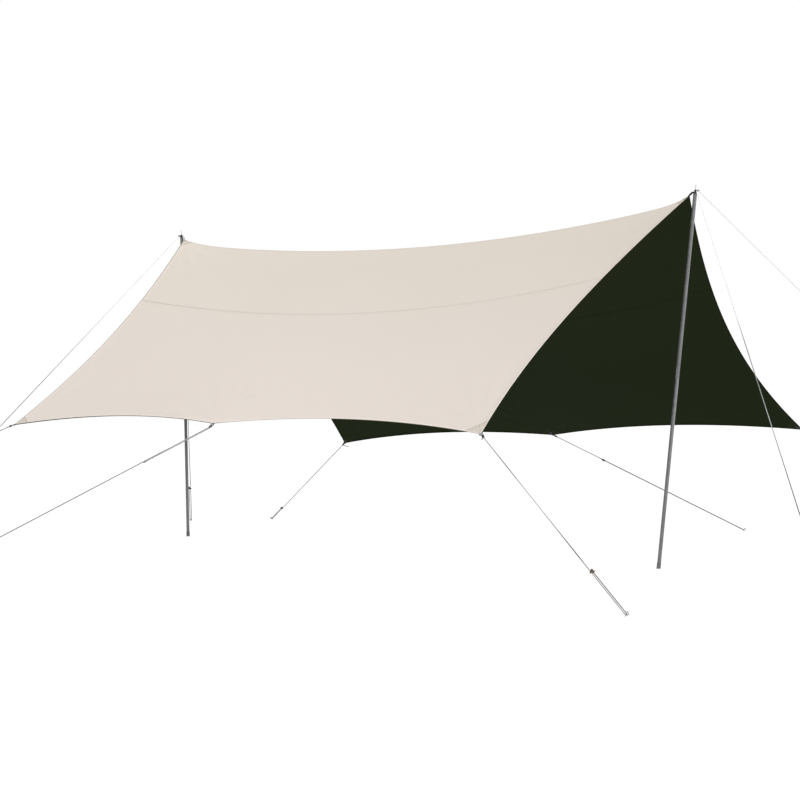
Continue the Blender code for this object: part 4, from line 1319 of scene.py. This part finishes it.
class CanopyStageSettings(bpy.types.PropertyGroup):
    """Floor, light and camera."""

    floor: colour_prop("Floor colour", (0.05, 0.05, 0.05), "Floor's own colour under its glow")
    floor_glow: number_prop("Floor glow", 0.982, "Pale even glow of the floor", min=0.0)
    sky_strength: number_prop("Sky seen", 1.0, "Brightness of the seen sky", min=0.0)
    sky_light: number_prop("Sky light", 1.16, "Light from all round", min=0.0)
    sky_slope: number_prop("Sky slope", 0.90, "How much more comes from the right")
    sun_strength: number_prop("Sun strength", 0.5, "Soft light from the front right", min=0.0)
    lens: number_prop("Focal length", 81.0, "Camera's focal length", unit="CAMERA")
    camera_place: bpy.props.FloatVectorProperty(
        name="Camera place", default=(6.190, -9.831, 1.044), unit="LENGTH", description="Where the camera stands"
    )
    camera_turn: number_prop(
        "Camera turn", math.radians(40.37), "Turn of the level camera to the left", unit="ROTATION"
    )
    camera_shift: number_prop("Camera shift", 0.0065, "Upward shift of the frame")


class CANOPY_OT_cloth(bpy.types.Operator):
    """Make the canopy's cloth with its corner patches and straps"""

    bl_idname = "canopy.cloth"
    bl_label = "Cloth"

    def execute(self, context):
        own = context.scene.canopy_cloth
        sides = {name: ClothSide(name) for name in SIDES}
        looks = (
            ("canvas_outside", own.outer, own.outer_second, own.outer_thread, 0.85, 0.25, 0.10, -0.23),
            ("canvas_inside", own.inner, own.inner_lower_shade, own.inner_thread, 0.75, 0.05, -0.25, -0.05),
            ("canvas_rim", own.rim, own.rim, own.outer_thread, 0.85, 0.10, 0.0, 0.0),
        )
        cloth = add_canopy_cloth(sides, own.thickness, [cloth_material(*look, own.inner) for look in looks])
        patch_outer = patch_material("patch_outside", own.patch, own.outer_thread, 0.85, 0.25)
        patch_inner = patch_material("patch_inside", own.inner, own.inner_thread, 0.75, 0.06)
        dark = strap_material("black_webbing", own.strap_dark, own.strap_thread)
        # The grey webbing is painted light on the sky-lit upper faces.
        sky_lit = strap_material("sky_lit_webbing", own.strap_sky_lit, own.strap_thread)
        for side_name, side in sides.items():
            for where, plan in PATCHES.items():
                name = f"{side_name}_{where}"
                if where != "middle":
                    add_patch(f"{name}_patch", side, plan, True, PATCH_PLY, patch_outer)
                add_patch(f"{name}_lining_patch", side, plan, False, own.thickness, patch_inner)
        for name in CORNERS:
            add_corner_strap(name, sides[name.split("_")[0]], own, [sky_lit, dark])
        for end in POLES:
            add_peak_strap(end, own, [sky_lit, dark])
        width = sides["front"].column_length(0.5) + sides["back"].column_length(0.5)
        length = sides["front"].row_length(0.0)
        area = sum(side.flat_area() for side in sides.values())
        return {"FINISHED"}


class CANOPY_OT_poles(bpy.types.Operator):
    """Make the two poles with their feet, caps and pins"""

    bl_idname = "canopy.poles"
    bl_label = "Poles"

    def execute(self, context):
        own = context.scene.canopy_poles
        mats = {
            "pole": worn_material("coated_tube", own.tube, own.tube_worn, 0.42, 0.75, 25.0, 0.5),
            "cap": worn_material("steel_cap", own.cap, own.tube, 0.42, 0.75, 60.0, 0.4),
            "bush": worn_material("black_bush", own.bush, own.rubber, 0.6, 0.0, 60.0, 0.3, 0.1),
            "pin": worn_material("bright_pin", own.pin, own.tube_worn, 0.3, 0.2, 60.0, 0.2),
            "rubber": worn_material("ribbed_rubber", own.rubber, own.rubber_worn, 0.80, 0.0, 90.0, 0.4),
        }
        for end in POLES:
            add_pole(end, mats)
        return {"FINISHED"}


class CANOPY_OT_stays(bpy.types.Operator):
    """Make the rings, ropes, sliders and pegs that stretch the canopy"""

    bl_idname = "canopy.stays"
    bl_label = "Stays"

    def execute(self, context):
        own = context.scene.canopy_ropes
        mats = {
            "rope": rope_material("grey_braid", own.rope, own.rope_sheen, own.rope_knot_shade),
            "slider": worn_material("brown_plate", own.slider, own.slider_worn, 0.5, 0.0, 160.0, 0.8),
            "ring": worn_material("plated_wire", own.ring, own.ring_worn, 0.40, 0.7, 120.0, 0.5),
            "peg": worn_material("galvanised_bar", own.peg, own.peg_worn, 0.45, 0.6, 120.0, 0.7),
        }
        for name in CORNERS:
            add_corner_ring(name, mats["ring"])
            add_corner_stay(name, own, mats)
        for end, side in POLE_PEGS:
            add_pole_stay(end, side, own, mats)
        return {"FINISHED"}


class CANOPY_OT_stage(bpy.types.Operator):
    """Make the pale floor, the soft light and the camera"""

    bl_idname = "canopy.stage"
    bl_label = "Stage"

    def execute(self, context):
        own = context.scene.canopy_stage
        scene = context.scene
        scene.view_settings.view_transform = "Standard"
        bm = bmesh.new()
        bmesh.ops.create_circle(bm, cap_ends=True, segments=64, radius=FLOOR_RADIUS)
        mesh = bpy.data.meshes.new("studio_floor")
        bm.to_mesh(mesh)
        bm.free()
        floor = bpy.data.objects.new("studio_floor", mesh)
        scene.collection.objects.link(floor)
        mat, _, shader = start_material("pale_floor", 0.9, gloss=0.0)
        glow = {"Base Color": own.floor, "Emission Color": (1.0, 1.0, 1.0), "Emission Strength": own.floor_glow}
        for label, value in glow.items():
            plug(shader, label, value)
        mesh.materials.append(mat)

        world = bpy.data.worlds.new("even_sky")
        world.use_nodes = True
        tree = world.node_tree
        back = tree.nodes["Background"]
        plug(back, "Color", (1.0, 1.0, 1.0))
        x, y = place_on(tree, "Generated").split()
        light = (x * SKY_WAY[0] + y * SKY_WAY[1]) * own.sky_slope + own.sky_light
        seen = Wire(add_node(tree, "ShaderNodeLightPath", {}).outputs["Is Camera Ray"])
        plug(back, "Strength", seen * (light * -1.0 + own.sky_strength) + light)
        scene.world = world

        sun = bpy.data.lights.new("soft_sun", "SUN")
        sun.energy = own.sun_strength
        sun.angle = math.radians(SUN_SPREAD)
        lamp = bpy.data.objects.new("soft_sun", sun)
        lamp.rotation_euler = Vector(SUN_WAY).to_track_quat("Z", "Y").to_euler()
        scene.collection.objects.link(lamp)

        camera = bpy.data.cameras.new("photo_view")
        camera.lens = own.lens
        camera.sensor_width = 36.0
        camera.shift_y = own.camera_shift
        camera.clip_end = 300.0
        eye = bpy.data.objects.new("photo_view", camera)
        eye.location = own.camera_place
        eye.rotation_euler = (math.pi / 2, 0.0, own.camera_turn)
        scene.collection.objects.link(eye)
        scene.camera = eye
        return {"FINISHED"}


class CANOPY_PT_panel(bpy.types.Panel):
    """Settings and buttons of the canopy tent"""

    bl_idname = "CANOPY_PT_panel"
    bl_label = "Canopy tent"
    bl_space_type = "VIEW_3D"
    bl_region_type = "UI"
    bl_category = "Canopy tent"

    def draw(self, context):
        for name, (_, operator) in PARTS.items():
            box = self.layout.box()
            settings = getattr(context.scene, name)
            for key in settings.bl_rna.properties.keys():
                if key not in ("rna_type", "name"):
                    box.prop(settings, key)
            box.operator(operator.bl_idname)


PARTS = {
    "canopy_cloth": (CanopyClothSettings, CANOPY_OT_cloth),
    "canopy_poles": (CanopyPoleSettings, CANOPY_OT_poles),
    "canopy_ropes": (CanopyRopeSettings, CANOPY_OT_stays),
    "canopy_stage": (CanopyStageSettings, CANOPY_OT_stage),
}
CLASSES = [cls for pair in PARTS.values() for cls in pair] + [CANOPY_PT_panel]


def register():
    """Register the settings, operators and panel."""
    for cls in CLASSES:
        bpy.utils.register_class(cls)
    for name, (group, _) in PARTS.items():
        setattr(bpy.types.Scene, name, bpy.props.PointerProperty(type=group))


def unregister():
    """Remove the settings, operators and panel."""
    for name in PARTS:
        delattr(bpy.types.Scene, name)
    for cls in reversed(CLASSES):
        bpy.utils.unregister_class(cls)


def main():
    register()
    bpy.ops.canopy.cloth()
    bpy.ops.canopy.poles()
    bpy.ops.canopy.stays()
    bpy.ops.canopy.stage()


if __name__ == "__main__":
    main()
